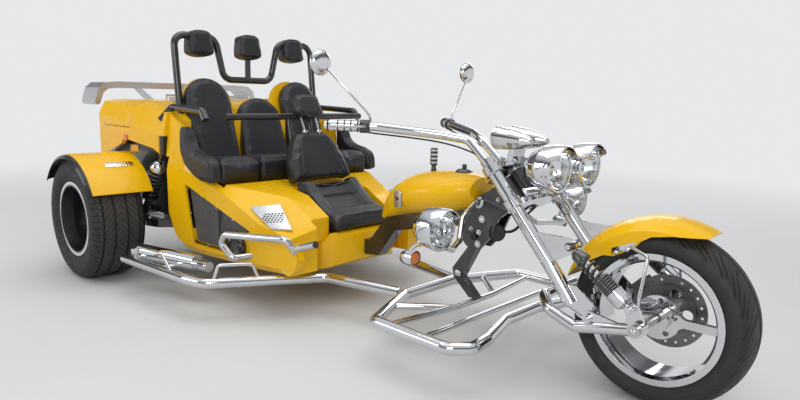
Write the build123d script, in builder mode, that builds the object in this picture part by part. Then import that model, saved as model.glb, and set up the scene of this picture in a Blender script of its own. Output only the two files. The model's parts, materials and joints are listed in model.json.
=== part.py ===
from build123d import *
import os
import math

os.makedirs("parts", exist_ok=True)

# Motorized trike: two wide driven wheels behind, one steered wheel in a long raked fork.
# Millimetres. +X forward, +Y left, +Z up, ground at Z = 0, X centred on the whole length.

# Overall sizes
wheelbase = 2876.0
front_tyre_r = 313.0
rear_tyre_r = 332.0
rear_tyre_w = 284.0
overall_width = 1850.0
tail_reach = 645.0          # spoiler's rear edge behind the rear axle
fit_gap = 0.3               # seat clearance between pieces that stand against each other
pin_gap = 0.05              # running clearance of a shaft in its bore

rear_x = (tail_reach - wheelbase - front_tyre_r) / 2
front_x = rear_x + wheelbase
rear_wheel_y = overall_width / 2 - rear_tyre_w / 2

# Steering geometry: the head leans back, the legs stand ahead of the steering axis
rake = 40.7
yoke_x = rear_x + 2351      # leg centre at the lower yoke
yoke_z = 655.0
leg_lead = 10.0             # leg centres ahead of the steering axis, square to it
leg_y = 168.0
leg_r = 27.0
lean = Vector(-math.sin(math.radians(rake)), 0, math.cos(math.radians(rake)))
square = Vector(math.cos(math.radians(rake)), 0, math.sin(math.radians(rake)))
yoke_leg = Vector(yoke_x, 0, yoke_z)
head = yoke_leg - square * leg_lead
head_plane = Plane(origin=head, x_dir=square, z_dir=lean)

# Rear wheels
rear_hub_r = 62.0
rear_stub_r = 20.0

# rim section: distance from the wheel's middle plane, radius
rear_rim_section = [
    (-125, 206), (-125, 182), (-105, 178), (60, 172), (125, 182), (125, 206),
    (119, 206), (113, 190), (-113, 190), (-119, 206),
]
rear_tyre_section = [
    (-112, 190.3), (-112, 205), (-136, 225), (-142, 270), (-136, 306), (-118, 326), (-90, 332),
    (90, 332), (118, 326), (136, 306), (142, 270), (136, 225), (112, 205), (112, 190.3),
]
for side, side_name in ((-1, "right"), (1, "left")):
    wheel_plane = Plane(
        origin=(rear_x, side * rear_wheel_y, rear_tyre_r), x_dir=(1, 0, 0), z_dir=(0, side, 0)
    )
    # section plane: local x runs outboard along the axle, local y is the radius
    section_plane = Plane(
        origin=(rear_x, side * rear_wheel_y, rear_tyre_r), x_dir=(0, side, 0), z_dir=(side, 0, 0)
    )
    axle_line = Axis((rear_x, side * rear_wheel_y, rear_tyre_r), (0, 1, 0))
    with BuildPart() as rear_rim:
        with BuildSketch(section_plane):
            with BuildLine():
                Polyline(*rear_rim_section, close=True)
            make_face()
        revolve(axis=axle_line)
        # dished centre, set well in from the outer lip
        with BuildSketch(wheel_plane.offset(-6)):
            Circle(174)
        extrude(amount=14)
        with BuildSketch(wheel_plane.offset(8)):
            Circle(rear_hub_r)
        extrude(amount=34)
        with BuildSketch(wheel_plane.offset(-60)):
            Circle(rear_hub_r)
        extrude(amount=54)
        # brake disc on the hub's inner end
        with BuildSketch(wheel_plane.offset(-72)):
            Circle(134)
            with PolarLocations(118, 24):
                Circle(4, mode=Mode.SUBTRACT)
        extrude(amount=12)
        with BuildSketch(wheel_plane.offset(-6)):
            with PolarLocations(122, 8):
                RectangleRounded(46, 60, 12)
        extrude(amount=14, mode=Mode.SUBTRACT)
        with BuildSketch(wheel_plane.offset(-72)):
            Circle(rear_stub_r + pin_gap)
        extrude(amount=92, mode=Mode.SUBTRACT)
    rear_rim.part.label = "rear_rim_" + side_name
    export_step(rear_rim.part, "parts/rear_rim_" + side_name + ".step")

    with BuildPart() as rear_tyre:
        with BuildSketch(section_plane):
            with BuildLine():
                Polyline(*rear_tyre_section, close=True)
            make_face()
        revolve(axis=axle_line)
    rear_tyre.part.label = "rear_tyre_" + side_name
    export_step(rear_tyre.part, "parts/rear_tyre_" + side_name + ".step")

# Front wheel
front_hub_r = 46.0
front_hub_half = 60.0
spoke_start = 14.0          # first spoke's angle above the horizontal
axle_r = 12.0
disc_y = 74.0
disc_r = 133.0
front_z = front_tyre_r

front_rim_section = [
    (-77, 232), (-77, 210), (-60, 200), (60, 200), (77, 210), (77, 232),
    (72, 232), (67, 214), (-67, 214), (-72, 232),
]
front_tyre_section = [
    (-66.7, 214.3), (-66.7, 229), (-86, 246), (-90, 264), (-84, 282), (-68, 297), (-46, 307),
    (0, 313), (46, 307), (68, 297), (84, 282), (90, 264), (86, 246), (66.7, 229), (66.7, 214.3),
]
front_section_plane = Plane(origin=(front_x, 0, front_z), x_dir=(0, 1, 0), z_dir=(1, 0, 0))
front_wheel_plane = Plane(origin=(front_x, 0, front_z), x_dir=(1, 0, 0), z_dir=(0, -1, 0))
front_axle_line = Axis((front_x, 0, front_z), (0, 1, 0))
with BuildPart() as front_rim:
    with BuildSketch(front_section_plane):
        with BuildLine():
            Polyline(*front_rim_section, close=True)
        make_face()
    revolve(axis=front_axle_line)
    with BuildSketch(front_wheel_plane.offset(-front_hub_half)):
        Circle(front_hub_r)
    extrude(amount=2 * front_hub_half)
    with BuildSketch(front_wheel_plane.offset(14)):
        Circle(78)
    extrude(amount=16)
    # five spokes, each forked round a hole where it leaves the hub
    with BuildSketch(front_wheel_plane.offset(16)):
        with PolarLocations(0, 5, start_angle=spoke_start):
            with BuildLine():
                Polyline((30, -44), (64, -30), (92, -14), (204, -15), (204, 15), (92, 14), (64, 30),
                         (30, 44), close=True)
            make_face()
    extrude(amount=22)
    with BuildSketch(front_wheel_plane.offset(10)):
        with PolarLocations(60, 5, start_angle=spoke_start):
            Circle(10)
    extrude(amount=40, mode=Mode.SUBTRACT)
    with BuildSketch(front_wheel_plane.offset(-front_hub_half)):
        Circle(axle_r + pin_gap)
    extrude(amount=2 * front_hub_half, mode=Mode.SUBTRACT)
front_rim.part.label = "front_rim"
export_step(front_rim.part, "parts/front_rim.step")

with BuildPart() as front_tyre:
    with BuildSketch(front_section_plane):
        with BuildLine():
            Polyline(*front_tyre_section, close=True)
        make_face()
    revolve(axis=front_axle_line)
front_tyre.part.label = "front_tyre"
export_step(front_tyre.part, "parts/front_tyre.step")

with BuildPart() as front_disc:
    with BuildSketch(front_wheel_plane.offset(-disc_y)):
        Circle(disc_r)
        Circle(98, mode=Mode.SUBTRACT)
        with PolarLocations(115, 20):
            Circle(5, mode=Mode.SUBTRACT)
    extrude(amount=5)
    # dished carrier that bolts to the hub's left end
    with BuildSketch(front_wheel_plane.offset(-disc_y)):
        Circle(99)
        Circle(axle_r + 10, mode=Mode.SUBTRACT)
        with PolarLocations(68, 5):
            Circle(20, mode=Mode.SUBTRACT)
    extrude(amount=disc_y - front_hub_half - fit_gap)
front_disc.part.label = "front_disc"
export_step(front_disc.part, "parts/front_disc.step")

# Front fork, turned by the steering
leg_top = 205.0             # leg above the lower yoke, along the lean
stem_r = 16.0
yoke_gap = 165.0            # between the two yokes' middles
yoke_t = 22.0
riser_back = 58.0           # handlebar feet behind the steering axis
head_low = 14.0             # frame's steering head spans this stretch above the lower yoke
head_high = 146.0
leg_low = -262.0
foot_end = Vector(rear_x + 2618, 0, 330)
side_view = Plane(origin=(rear_x, 0, 0), x_dir=(1, 0, 0), z_dir=(0, -1, 0))
link_y = 200.0
link_r = 21.0
pivot = Vector(rear_x + 2702, 0, 306)
pivot_r = 9.0
bush_in = link_y - 14       # inner end of the link's pivot bush
shock_y = link_y + 16
shock_top = Vector(rear_x + 2622, 0, 548)
shock_low = Vector(rear_x + 2850, 0, 379)
shock_eye_half = 11.0
lug_half = 4.7              # lower spring lug, half its thickness
with BuildPart() as fork:
    for side in (-1, 1):
        top = yoke_leg + lean * leg_top + Vector(0, side * leg_y, 0)
        low = yoke_leg + lean * leg_low + Vector(0, side * leg_y, 0)
        with BuildLine() as run:
            FilletPolyline(top, low, foot_end + Vector(0, side * leg_y, 0), radius=120)
        with BuildSketch(Plane(origin=run.line @ 0, z_dir=run.line % 0)):
            Circle(leg_r)
        sweep()
        # clamp collars
        for station in (0.0, yoke_gap):
            collar = Plane(
                origin=yoke_leg + lean * (station - yoke_t / 2) + Vector(0, side * leg_y, 0),
                x_dir=square, z_dir=lean,
            )
            with BuildSketch(collar):
                Circle(leg_r + 5)
            extrude(amount=yoke_t)
    # gusset plates carrying the link pivots
    for side in (-1, 1):
        with BuildSketch(Plane(origin=(rear_x, side * (leg_y - 4), 0), x_dir=(1, 0, 0), z_dir=(0, -1, 0))):
            with BuildLine():
                Polyline((2596, 398), (2634, 398), (2726, 326), (2726, 286), (2680, 274), (2600, 318),
                         close=True)
            make_face()
        extrude(amount=5, both=True)

    # yokes and the stem that turns in the steering head
    for station, back_reach in ((0.0, 46), (yoke_gap, 100)):
        with BuildSketch(head_plane.offset(station - yoke_t / 2)):
            with BuildLine():
                Polyline((-back_reach, -46), (-back_reach + 10, -92), (leg_lead - 24, -leg_y + 30),
                         (leg_lead, -leg_y + 18), (leg_lead + 26, -leg_y + 34), (leg_lead + 38, -40),
                         (leg_lead + 38, 40), (leg_lead + 26, leg_y - 34), (leg_lead, leg_y - 18),
                         (leg_lead - 24, leg_y - 30), (-back_reach + 10, 92), (-back_reach, 46), close=True)
            make_face()
        extrude(amount=yoke_t)
    with BuildSketch(head_plane.offset(-yoke_t / 2)):
        Circle(stem_r)
    extrude(amount=yoke_gap + yoke_t / 2)
    # link pivot pins and the studs that hold the spring units' upper eyes
    for side in (-1, 1):
        for spot, washer_end, pin_end in (
            (pivot, bush_in - fit_gap, link_y + 22), (shock_top, shock_y - shock_eye_half - fit_gap, shock_y + 18),
        ):
            with BuildSketch(side_view.offset(-side * (leg_y + 1))):
                with Locations((spot.X - rear_x, spot.Z)):
                    Circle(pivot_r)
            extrude(amount=-side * (pin_end - leg_y - 1))
            with BuildSketch(side_view.offset(-side * (leg_y + 1))):
                with Locations((spot.X - rear_x, spot.Z)):
                    Circle(pivot_r + 6)
            extrude(amount=-side * (washer_end - leg_y - 1))
        with BuildSketch(side_view.offset(-side * (leg_y - 6))):
            with BuildLine():
                Polyline((2446, 566), (2528, 464), (2640, 528), (2642, 552), (2622, 568), (2596, 566),
                         close=True)
            make_face()
        extrude(amount=-side * 12)
fork.part.label = "fork"
export_step(fork.part, "parts/fork.step")

# Leading link behind and beside the wheel
with BuildPart() as front_link:
    with BuildLine() as run:
        FilletPolyline(
            (front_x - 12, -link_y, front_z - 6), (rear_x + 2652, -link_y, 262), (rear_x + 2548, -link_y, 300),
            (rear_x + 2478, -118, 322), (rear_x + 2478, 118, 322), (rear_x + 2548, link_y, 300),
            (rear_x + 2652, link_y, 262), (front_x - 12, link_y, front_z - 6), radius=36,
        )
    with BuildSketch(Plane(origin=run.line @ 0, z_dir=run.line % 0)):
        Circle(link_r)
    sweep()
    for side in (-1, 1):
        with BuildSketch(Plane(origin=(front_x, side * link_y, front_z), x_dir=(1, 0, 0), z_dir=(0, -1, 0))):
            Circle(28)
        extrude(amount=23, both=True)
        # shock lug and pivot gusset on top of the arm
        with BuildSketch(Plane(origin=(rear_x, side * link_y, 0), x_dir=(1, 0, 0), z_dir=(0, -1, 0))):
            with BuildLine():
                Polyline((2688, 264), (2686, 326), (2702, 334), (2724, 330), (2806, 316), (2836, 322),
                         (2834, 384), (2850, 396), (2872, 388), (2896, 340), (2896, 318), (2860, 304),
                         (2700, 262), close=True)
            make_face()
        extrude(amount=lug_half, both=True)
        # stud through the spring unit's lower eye
        with BuildSketch(side_view.offset(-side * link_y)):
            with Locations((shock_low.X - rear_x, shock_low.Z)):
                Circle(pivot_r)
        extrude(amount=-side * (shock_y - link_y + 18))
        with BuildSketch(side_view.offset(-side * bush_in)):
            with Locations((pivot.X - rear_x, pivot.Z)):
                Circle(pivot_r + 7)
        extrude(amount=-side * 28)
        with BuildSketch(side_view.offset(-side * (bush_in - 20))):
            with Locations((pivot.X - rear_x, pivot.Z)):
                Circle(pivot_r + pin_gap)
        extrude(amount=-side * 90, mode=Mode.SUBTRACT)
    with BuildSketch(Plane(origin=(front_x, -link_y - 30, front_z), x_dir=(1, 0, 0), z_dir=(0, 1, 0))):
        Circle(axle_r)
    extrude(amount=2 * link_y + 60, mode=Mode.SUBTRACT)
    add(fork.part, mode=Mode.SUBTRACT)
front_link.part.label = "front_link"
export_step(front_link.part, "parts/front_link.step")

with BuildPart() as front_axle:
    with BuildSketch(Plane(origin=(front_x, 226, front_z), x_dir=(1, 0, 0), z_dir=(0, -1, 0))):
        Circle(axle_r)
    extrude(amount=452)
    for side in (-1, 1):
        # spacer between hub and arm, then the domed nut outside the arm
        with BuildSketch(Plane(origin=(front_x, side * (front_hub_half + 17), front_z), x_dir=(1, 0, 0),
                               z_dir=(0, side, 0))):
            Circle(17)
        extrude(amount=link_y - 23 - fit_gap - front_hub_half - 17)
        with BuildSketch(Plane(origin=(front_x, side * (link_y + 23 + fit_gap), front_z), x_dir=(1, 0, 0),
                               z_dir=(0, side, 0))):
            Circle(20)
        extrude(amount=13)
front_axle.part.label = "front_axle"
export_step(front_axle.part, "parts/front_axle.step")

# coil-over units: top eye on the leg, lower eye on the arm's lug
with BuildPart() as front_shocks:
    for side in (-1, 1):
        low = shock_low + Vector(0, side * shock_y, 0)
        top = shock_top + Vector(0, side * shock_y, 0)
        reach = (top - low).length
        unit = Plane(origin=low, z_dir=(top - low))
        for radius, start, length in (
            (9, 0, reach), (31, 18, 49), (30, 67, 69), (14, 136, 82), (26, 218, 46),
        ):
            with BuildSketch(unit.offset(start)):
                Circle(radius)
            extrude(amount=length)
        for spot in (low, top):
            with BuildSketch(Plane(origin=spot, x_dir=(1, 0, 0), z_dir=(0, side, 0))):
                Circle(15)
            extrude(amount=shock_eye_half, both=True)
        for spot in (low, top):
            with BuildSketch(Plane(origin=spot, x_dir=(1, 0, 0), z_dir=(0, side, 0))):
                Circle(pivot_r + pin_gap)
            extrude(amount=20, both=True, mode=Mode.SUBTRACT)
front_shocks.part.label = "front_shocks"
export_step(front_shocks.part, "parts/front_shocks.step")

# Front mudguard and its stays
guard_r = 354.0
guard_t = 5.0
guard_half = 100.0
guard_back = 77.0           # degrees behind the top where the mudguard starts
guard_sweep = 103.0
guard_radial = Vector(-math.sin(math.radians(guard_back)), 0, math.cos(math.radians(guard_back)))
guard_section = Plane(
    origin=(front_x, 0, front_z), x_dir=(0, 1, 0), z_dir=Vector(0, 1, 0).cross(guard_radial)
)
with BuildPart() as front_fender:
    with BuildSketch(guard_section):
        with BuildLine():
            Polyline((-guard_half, 240), (-guard_half, 312), (-78, 340), (-40, guard_r), (40, guard_r),
                     (78, 340), (guard_half, 312), (guard_half, 240), (guard_half - guard_t, 240),
                     (guard_half - guard_t, 310), (75, 336), (38, guard_r - guard_t),
                     (-38, guard_r - guard_t), (-75, 336), (-guard_half + guard_t, 310),
                     (-guard_half + guard_t, 240), close=True)
        make_face()
    revolve(axis=front_axle_line, revolution_arc=guard_sweep)
    # side view of the skirt: shallow over the tip, deep beside the rear half
    with BuildSketch(side_view):
        with BuildLine():
            Polyline((3040, 624), (2925, 618), (2852, 604), (2818, 582), (2800, 556), (2727, 515),
                     (2690, 512), (2640, 482), (2580, 440), (2530, 384), (2440, 384), (2440, 700),
                     (3060, 700), close=True)
        make_face()
    extrude(amount=120, both=True, mode=Mode.INTERSECT)
front_fender.part.label = "front_fender"
export_step(front_fender.part, "parts/front_fender.step")

stay_r = 6.0
stay_low_y = link_y - lug_half - fit_gap - stay_r
with BuildPart() as fender_stays:
    for side in (-1, 1):
        with BuildSketch(side_view.offset(-side * (guard_half + fit_gap))):
            with BuildLine():
                Polyline((2722, 545), (2722, 523), (2796, 556), (2806, 580), close=True)
            make_face()
        extrude(amount=-side * 5)
        with BuildLine() as run:
            FilletPolyline((rear_x + 2790, side * (guard_half + 8), 561),
                           (rear_x + 2868, side * (guard_half + 50), 548),
                           (rear_x + 2866, side * stay_low_y, 410), (rear_x + 2866, side * stay_low_y, 346),
                           radius=18)
        with BuildSketch(Plane(origin=run.line @ 0, z_dir=run.line % 0)):
            Circle(stay_r)
        sweep()
fender_stays.part.label = "fender_stays"
export_step(fender_stays.part, "parts/fender_stays.step")

# Bars, lamps and clocks on the fork
bar_r = 19.0
bar_spread = 50.0
bar_bore_r = 15.0           # inside of the tube, open at the free ends
bar_bore_depth = 60.0
bar_foot = head + lean * (yoke_gap + yoke_t / 2 + fit_gap) - square * riser_back
with BuildPart() as handlebar:
    for side in (-1, 1):
        with BuildLine() as run:
            FilletPolyline(
                bar_foot + Vector(0, side * bar_spread, 0), (rear_x + 2036, side * 46, 873),
                (rear_x + 1945, side * 115, 890), (rear_x + 1700, side * 258, 914),
                (rear_x + 1535, side * 407.3, 915.2), radius=60,
            )
        with BuildSketch(Plane(origin=run.line @ 0, z_dir=run.line % 0)):
            Circle(bar_r)
        sweep()
        with BuildSketch(Plane(origin=run.line @ 1, z_dir=(run.line % 1) * -1)):
            Circle(bar_bore_r)
        extrude(amount=bar_bore_depth, mode=Mode.SUBTRACT)
    add(fork.part, mode=Mode.SUBTRACT)
handlebar.part.label = "handlebar"
export_step(handlebar.part, "parts/handlebar.step")

with BuildPart() as grips:
    for side in (-1, 1):
        start = Vector(rear_x + 1645, side * 307.8, 914.4)
        end = Vector(rear_x + 1540, side * 402.8, 915.16)
        with BuildSketch(Plane(origin=start, z_dir=end - start)):
            Circle(24)
        extrude(amount=(end - start).length)
        with BuildSketch(Plane(origin=start, z_dir=end - start)):
            Circle(bar_r - 1)
        extrude(amount=(end - start).length, mode=Mode.SUBTRACT)
        add(handlebar.part, mode=Mode.SUBTRACT)
grips.part.label = "grips"
export_step(grips.part, "parts/grips.step")

with BuildPart() as mirrors:
    for side in (-1, 1):
        with BuildLine() as run:
            FilletPolyline((rear_x + 1683, side * 273.4, 914.1 + bar_r + 1), (rear_x + 1680, side * 283, 964),
                           (rear_x + 1624, side * 470, 1148), radius=14)
        with BuildSketch(Plane(origin=run.line @ 0, z_dir=run.line % 0)):
            Circle(5)
        sweep()
        with BuildSketch(Plane(origin=(rear_x + 1609, side * 490, 1172), x_dir=(0, 1, 0), z_dir=(1, 0, 0))):
            Ellipse(50, 52)
        extrude(amount=16, both=True)
mirrors.part.label = "mirrors"
export_step(mirrors.part, "parts/mirrors.step")

lamp_profile = [(0, 0), (0, 84), (-14, 88), (-58, 80), (-100, 60), (-128, 34), (-140, 0)]
with BuildPart() as headlamps:
    for side in (-1, 1):
        centre = Vector(rear_x + 2502, side * 118, 797)
        with BuildSketch(Plane(origin=centre, x_dir=(1, 0, 0), z_dir=(0, -1, 0))):
            with BuildLine():
                Polyline(*lamp_profile, close=True)
            make_face()
        revolve(axis=Axis(tuple(centre), (1, 0, 0)))
    # bracket from the lower yoke and the cross rod under both lamps
    with BuildSketch(Plane(origin=head + lean * (yoke_t / 2 + fit_gap), x_dir=square, z_dir=lean)):
        with Locations((leg_lead + 30, 0)):
            Rectangle(14, 2 * leg_y - 130)
    extrude(amount=30)
    with BuildLine() as run:
        Polyline(head + lean * 30 + square * (leg_lead + 34), (rear_x + 2440, 0, 700))
    with BuildSketch(Plane(origin=run.line @ 0, z_dir=run.line % 0)):
        Circle(14)
    sweep()
    with BuildSketch(Plane(origin=(rear_x + 2440, 130, 710), x_dir=(1, 0, 0), z_dir=(0, -1, 0))):
        Circle(11)
    extrude(amount=260)
    add(fork.part, mode=Mode.SUBTRACT)
headlamps.part.label = "headlamps"
export_step(headlamps.part, "parts/headlamps.step")

# two bullet pods, dial end to the rider
clock_profile = [(0, 0), (0, 44), (8, 46), (20, 44), (70, 41), (120, 30), (155, 14), (169, 0)]
with BuildPart() as clocks:
    for side in (-1, 1):
        dial = Vector(rear_x + 2189, side * 56, 893)
        along = Vector(169, side * 4, -9).normalized()
        with BuildSketch(Plane(origin=dial, x_dir=along, z_dir=along.cross(Vector(0, 0, 1)))):
            with BuildLine():
                Polyline(*clock_profile, close=True)
            make_face()
        revolve(axis=Axis(dial, along))
    # foot on the upper yoke and the neck that carries both pods
    with BuildSketch(head_plane.offset(yoke_gap + yoke_t / 2 + fit_gap)):
        with Locations((24, 0)):
            Rectangle(40, 84)
    extrude(amount=26)
    neck_foot = head + lean * (yoke_gap + yoke_t / 2 + 14) + square * 24
    with BuildLine() as run:
        Polyline(neck_foot, (rear_x + 2252, 0, 872))
    with BuildSketch(Plane(origin=run.line @ 0, x_dir=(0, 1, 0), z_dir=run.line % 0)):
        Rectangle(84, 26)
    sweep()
clocks.part.label = "clocks"
export_step(clocks.part, "parts/clocks.step")

with BuildPart() as front_caliper:
    with BuildSketch(front_wheel_plane.offset(-(disc_y + 22))):
        with BuildLine():
            Polyline((-150, 60), (-112, 100), (-72, 60), (-96, 20), close=True)
        make_face()
    extrude(amount=16)
    with BuildSketch(front_wheel_plane.offset(-link_y + link_r + fit_gap)):
        with BuildLine():
            Polyline((-150, 60), (-120, 90), (-96, 56), (-60, -12), (-104, -22), close=True)
        make_face()
    extrude(amount=link_y - link_r - fit_gap - disc_y - 22)
front_caliper.part.label = "front_caliper"
export_step(front_caliper.part, "parts/front_caliper.step")

# Steering head and its plates
head_r = 31.0
with BuildPart() as steering_head:
    with BuildSketch(head_plane.offset(head_low)):
        Circle(head_r)
    extrude(amount=head_high - head_low)
    for side in (-1, 1):
        with BuildSketch(Plane(origin=(rear_x, side * 38, 0), x_dir=(1, 0, 0), z_dir=(0, -1, 0))):
            with BuildLine():
                Polyline((2243, 742), (2315, 651), (2205, 560), (2172, 480), (2120, 418), (2050, 418),
                         (1996, 470), (2010, 540), (2062, 628), (2146, 668), close=True)
            make_face()
        extrude(amount=7, both=True)
    with BuildSketch(head_plane.offset(head_low)):
        with Locations((-44, 0)):
            Rectangle(60, 70)
    extrude(amount=head_high - head_low - 20)
    with BuildSketch(Plane(origin=(rear_x + 2092, 0, 440), x_dir=(1, 0, 0), z_dir=(0, -1, 0))):
        Circle(18)
    extrude(amount=38, both=True)
    with BuildSketch(head_plane.offset(head_low)):
        Circle(stem_r + pin_gap)
    extrude(amount=head_high - head_low, mode=Mode.SUBTRACT)
steering_head.part.label = "steering_head"
export_step(steering_head.part, "parts/steering_head.step")

# backbone under the tank and the flat struts down to the floor frame
floor_z = 172.0
floor_bar_r = 13.0
with BuildPart() as backbone:
    with BuildSketch(side_view):
        with BuildLine():
            Polyline((2060, 590), (2060, 512), (1610, 412), (1500, 268), (1300, 250), (1300, 330),
                     (1440, 338), (1560, 482), close=True)
        make_face()
    extrude(amount=31, both=True)
    with BuildSketch(side_view):
        with BuildLine():
            Polyline((2074, 460), (2112, 460), (2012, 268), (2098, floor_z + floor_bar_r + fit_gap),
                     (2054, floor_z + floor_bar_r + fit_gap),
                     (1966, 262), (1958, 300), close=True)
        make_face()
    extrude(amount=20, both=True)
    add(steering_head.part, mode=Mode.SUBTRACT)
backbone.part.label = "backbone"
export_step(backbone.part, "parts/backbone.step")

# Floor frame: one ring of fat tube with cross bars
ring_r = 25.0
ring_points = [(1814, 176), (1965, 512), (2335, 518), (2398, 452), (2384, 345), (2312, 120)]
with BuildPart() as floor_frame:
    near_half = [(rear_x + x, -y, floor_z) for x, y in ring_points]
    far_half = [(rear_x + x, y, floor_z) for x, y in reversed(ring_points)]
    with BuildLine() as run:
        FilletPolyline(*near_half, *far_half, radius=45, close=True)
    with BuildSketch(Plane(origin=run.line @ 0, z_dir=run.line % 0)):
        Circle(ring_r)
    sweep()
    # bars: x, y of one end, x, y of the other, radius
    for x_a, y_a, x_b, y_b, bar_radius in (
        (2034, -500, 2078, -120, floor_bar_r), (2078, -120, 2078, 120, floor_bar_r),
        (2034, 500, 2078, 120, floor_bar_r), (1880, -330, 2066, -150, 15), (1880, 330, 2066, 150, 15),
        (2210, -505, 2210, 505, 12),
    ):
        with BuildLine() as run:
            Polyline((rear_x + x_a, y_a, floor_z), (rear_x + x_b, y_b, floor_z))
        with BuildSketch(Plane(origin=run.line @ 0, z_dir=run.line % 0)):
            Circle(bar_radius)
        sweep()
floor_frame.part.label = "floor_frame"
export_step(floor_frame.part, "parts/floor_frame.step")

# Side rails
rail_z = 178.0
rail_points = [(430, 822), (985, 780), (1100, 752), (1392, 270), (1790, 182)]
with BuildPart() as side_rails:
    for side in (-1, 1):
        with BuildLine() as run:
            FilletPolyline(*[(rear_x + x, side * y, rail_z) for x, y in rail_points], radius=70)
        with BuildSketch(Plane(origin=run.line @ 0, z_dir=run.line % 0)):
            Circle(24)
        sweep()
        # low guard hoops on the rail: the four corners' x, y and z
        for corners in (
            ((536, 813.9, 190), (573, 811.1, 266), (782, 795.3, 269), (861, 789.3, 190)),
            ((1121, 717.3, 190), (1133, 697.5, 262), (1212, 567, 262), (1226, 544, 190)),
        ):
            with BuildLine() as run:
                FilletPolyline(*[(rear_x + x, side * y, z) for x, y, z in corners], radius=16)
            with BuildSketch(Plane(origin=run.line @ 0, z_dir=run.line % 0)):
                Circle(8)
            sweep()
        add(floor_frame.part, mode=Mode.SUBTRACT)
side_rails.part.label = "side_rails"
export_step(side_rails.part, "parts/side_rails.step")

# Silencers in the side boards
with BuildPart() as silencers:
    for side in (-1, 1):
        for x_a, y_a, x_b, y_b, z, radius in (
            (405, 742, 840, 640, 205, 40), (520, 660, 905, 612, 190, 26),
        ):
            start = Vector(rear_x + x_a, side * y_a, z)
            end = Vector(rear_x + x_b, side * y_b, z)
            with BuildSketch(Plane(origin=start, z_dir=end - start)):
                Circle(radius)
            extrude(amount=(end - start).length)
        # straps to the side rail
        for x in (500, 760):
            with BuildSketch(Plane.XY.offset(188)):
                with Locations((rear_x + x, side * 730)):
                    Rectangle(30, 150)
            extrude(amount=6)
    add(side_rails.part, mode=Mode.SUBTRACT)
silencers.part.label = "silencers"
export_step(silencers.part, "parts/silencers.step")

# Roll bar with its middle dip
roll_r = 19.0
roll_y = 465.0
roll_top = 1343.0
roll_dip = 1113.0
with BuildPart() as roll_bar:
    with BuildLine() as run:
        FilletPolyline(
            (rear_x + 400, -roll_y, 852), (rear_x + 384, -roll_y, 1010), (rear_x + 345, -roll_y, roll_top),
            (rear_x + 345, -215, roll_top), (rear_x + 345, -160, roll_dip), (rear_x + 345, 160, roll_dip),
            (rear_x + 345, 215, roll_top), (rear_x + 345, roll_y, roll_top), (rear_x + 384, roll_y, 1010),
            (rear_x + 400, roll_y, 852), radius=62,
        )
    with BuildSketch(Plane(origin=run.line @ 0, z_dir=run.line % 0)):
        Circle(roll_r)
    sweep()
    # stem of the middle headrest
    with BuildSketch(Plane.XY.offset(roll_dip)):
        with Locations((rear_x + 345, 0)):
            Rectangle(14, 30)
    extrude(amount=roll_top - roll_dip - 60)
roll_bar.part.label = "roll_bar"
export_step(roll_bar.part, "parts/roll_bar.step")

# headrests: trapezoids leaning back round the bar's top run
rest_tilt = 10.0
rest_up = Vector(-math.sin(math.radians(rest_tilt)), 0, math.cos(math.radians(rest_tilt)))
with BuildPart() as headrests:
    for y in (-316, 0, 316):
        with BuildSketch(Plane(origin=(rear_x + 388, y, roll_top - 105), x_dir=(0, 1, 0),
                               z_dir=Vector(0, 1, 0).cross(rest_up))):
            with BuildLine():
                Polyline((-80, 0), (80, 0), (57, 141), (-57, 141), close=True)
            make_face()
        extrude(amount=-94)
    add(roll_bar.part, mode=Mode.SUBTRACT)
headrests.part.label = "headrests"
export_step(headrests.part, "parts/headrests.step")

# armrests bend down at the front; a stub ties each to the tub's shoulder
with BuildPart() as armrests:
    for side in (-1, 1):
        with BuildLine() as run:
            FilletPolyline((rear_x + 346, side * 556, 884), (rear_x + 384, side * 503, 958),
                           (rear_x + 715, side * 520, 948), (rear_x + 752, side * 522, 902), radius=22)
        with BuildSketch(Plane(origin=run.line @ 0, z_dir=run.line % 0)):
            Circle(18)
        sweep()
        with BuildSketch(Plane(origin=(rear_x + 392, side * 500, 955), x_dir=(1, 0, 0), z_dir=(0, -side, 0))):
            Circle(14)
        extrude(amount=50)
        add(roll_bar.part, mode=Mode.SUBTRACT)
armrests.part.label = "armrests"
export_step(armrests.part, "parts/armrests.step")

# Bench: three cushions, three backs, two side bolsters
bench_front = 852.0
bench_floor = 572.0
with BuildPart() as bench_cushions:
    for y_low, y_high in ((-506, -268), (-266, 266), (268, 506)):
        with BuildSketch(Plane(origin=(rear_x, y_high, 0), x_dir=(1, 0, 0), z_dir=(0, -1, 0))):
            with BuildLine():
                Polyline((560, bench_floor), (bench_front - 6, bench_floor), (bench_front + 6, 610),
                         (bench_front + 2, 690), (bench_front - 20, 703), (560, 684), close=True)
            make_face()
        extrude(amount=y_high - y_low)
    # side bolsters stand outside the cushions, on the panel's top edge
    for side in (-1, 1):
        with BuildSketch(Plane(origin=(rear_x, side * 560, 0), x_dir=(1, 0, 0), z_dir=(0, -1, 0))):
            with BuildLine():
                Polyline((556, 696), (540, 852), (612, 856), (650, 800), (705, 752), (846, 702), (866, 670),
                         (872, 584), (694, 600), close=True)
            make_face()
        extrude(amount=side * 52)
bench_cushions.part.label = "bench_cushions"
export_step(bench_cushions.part, "parts/bench_cushions.step")

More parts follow.
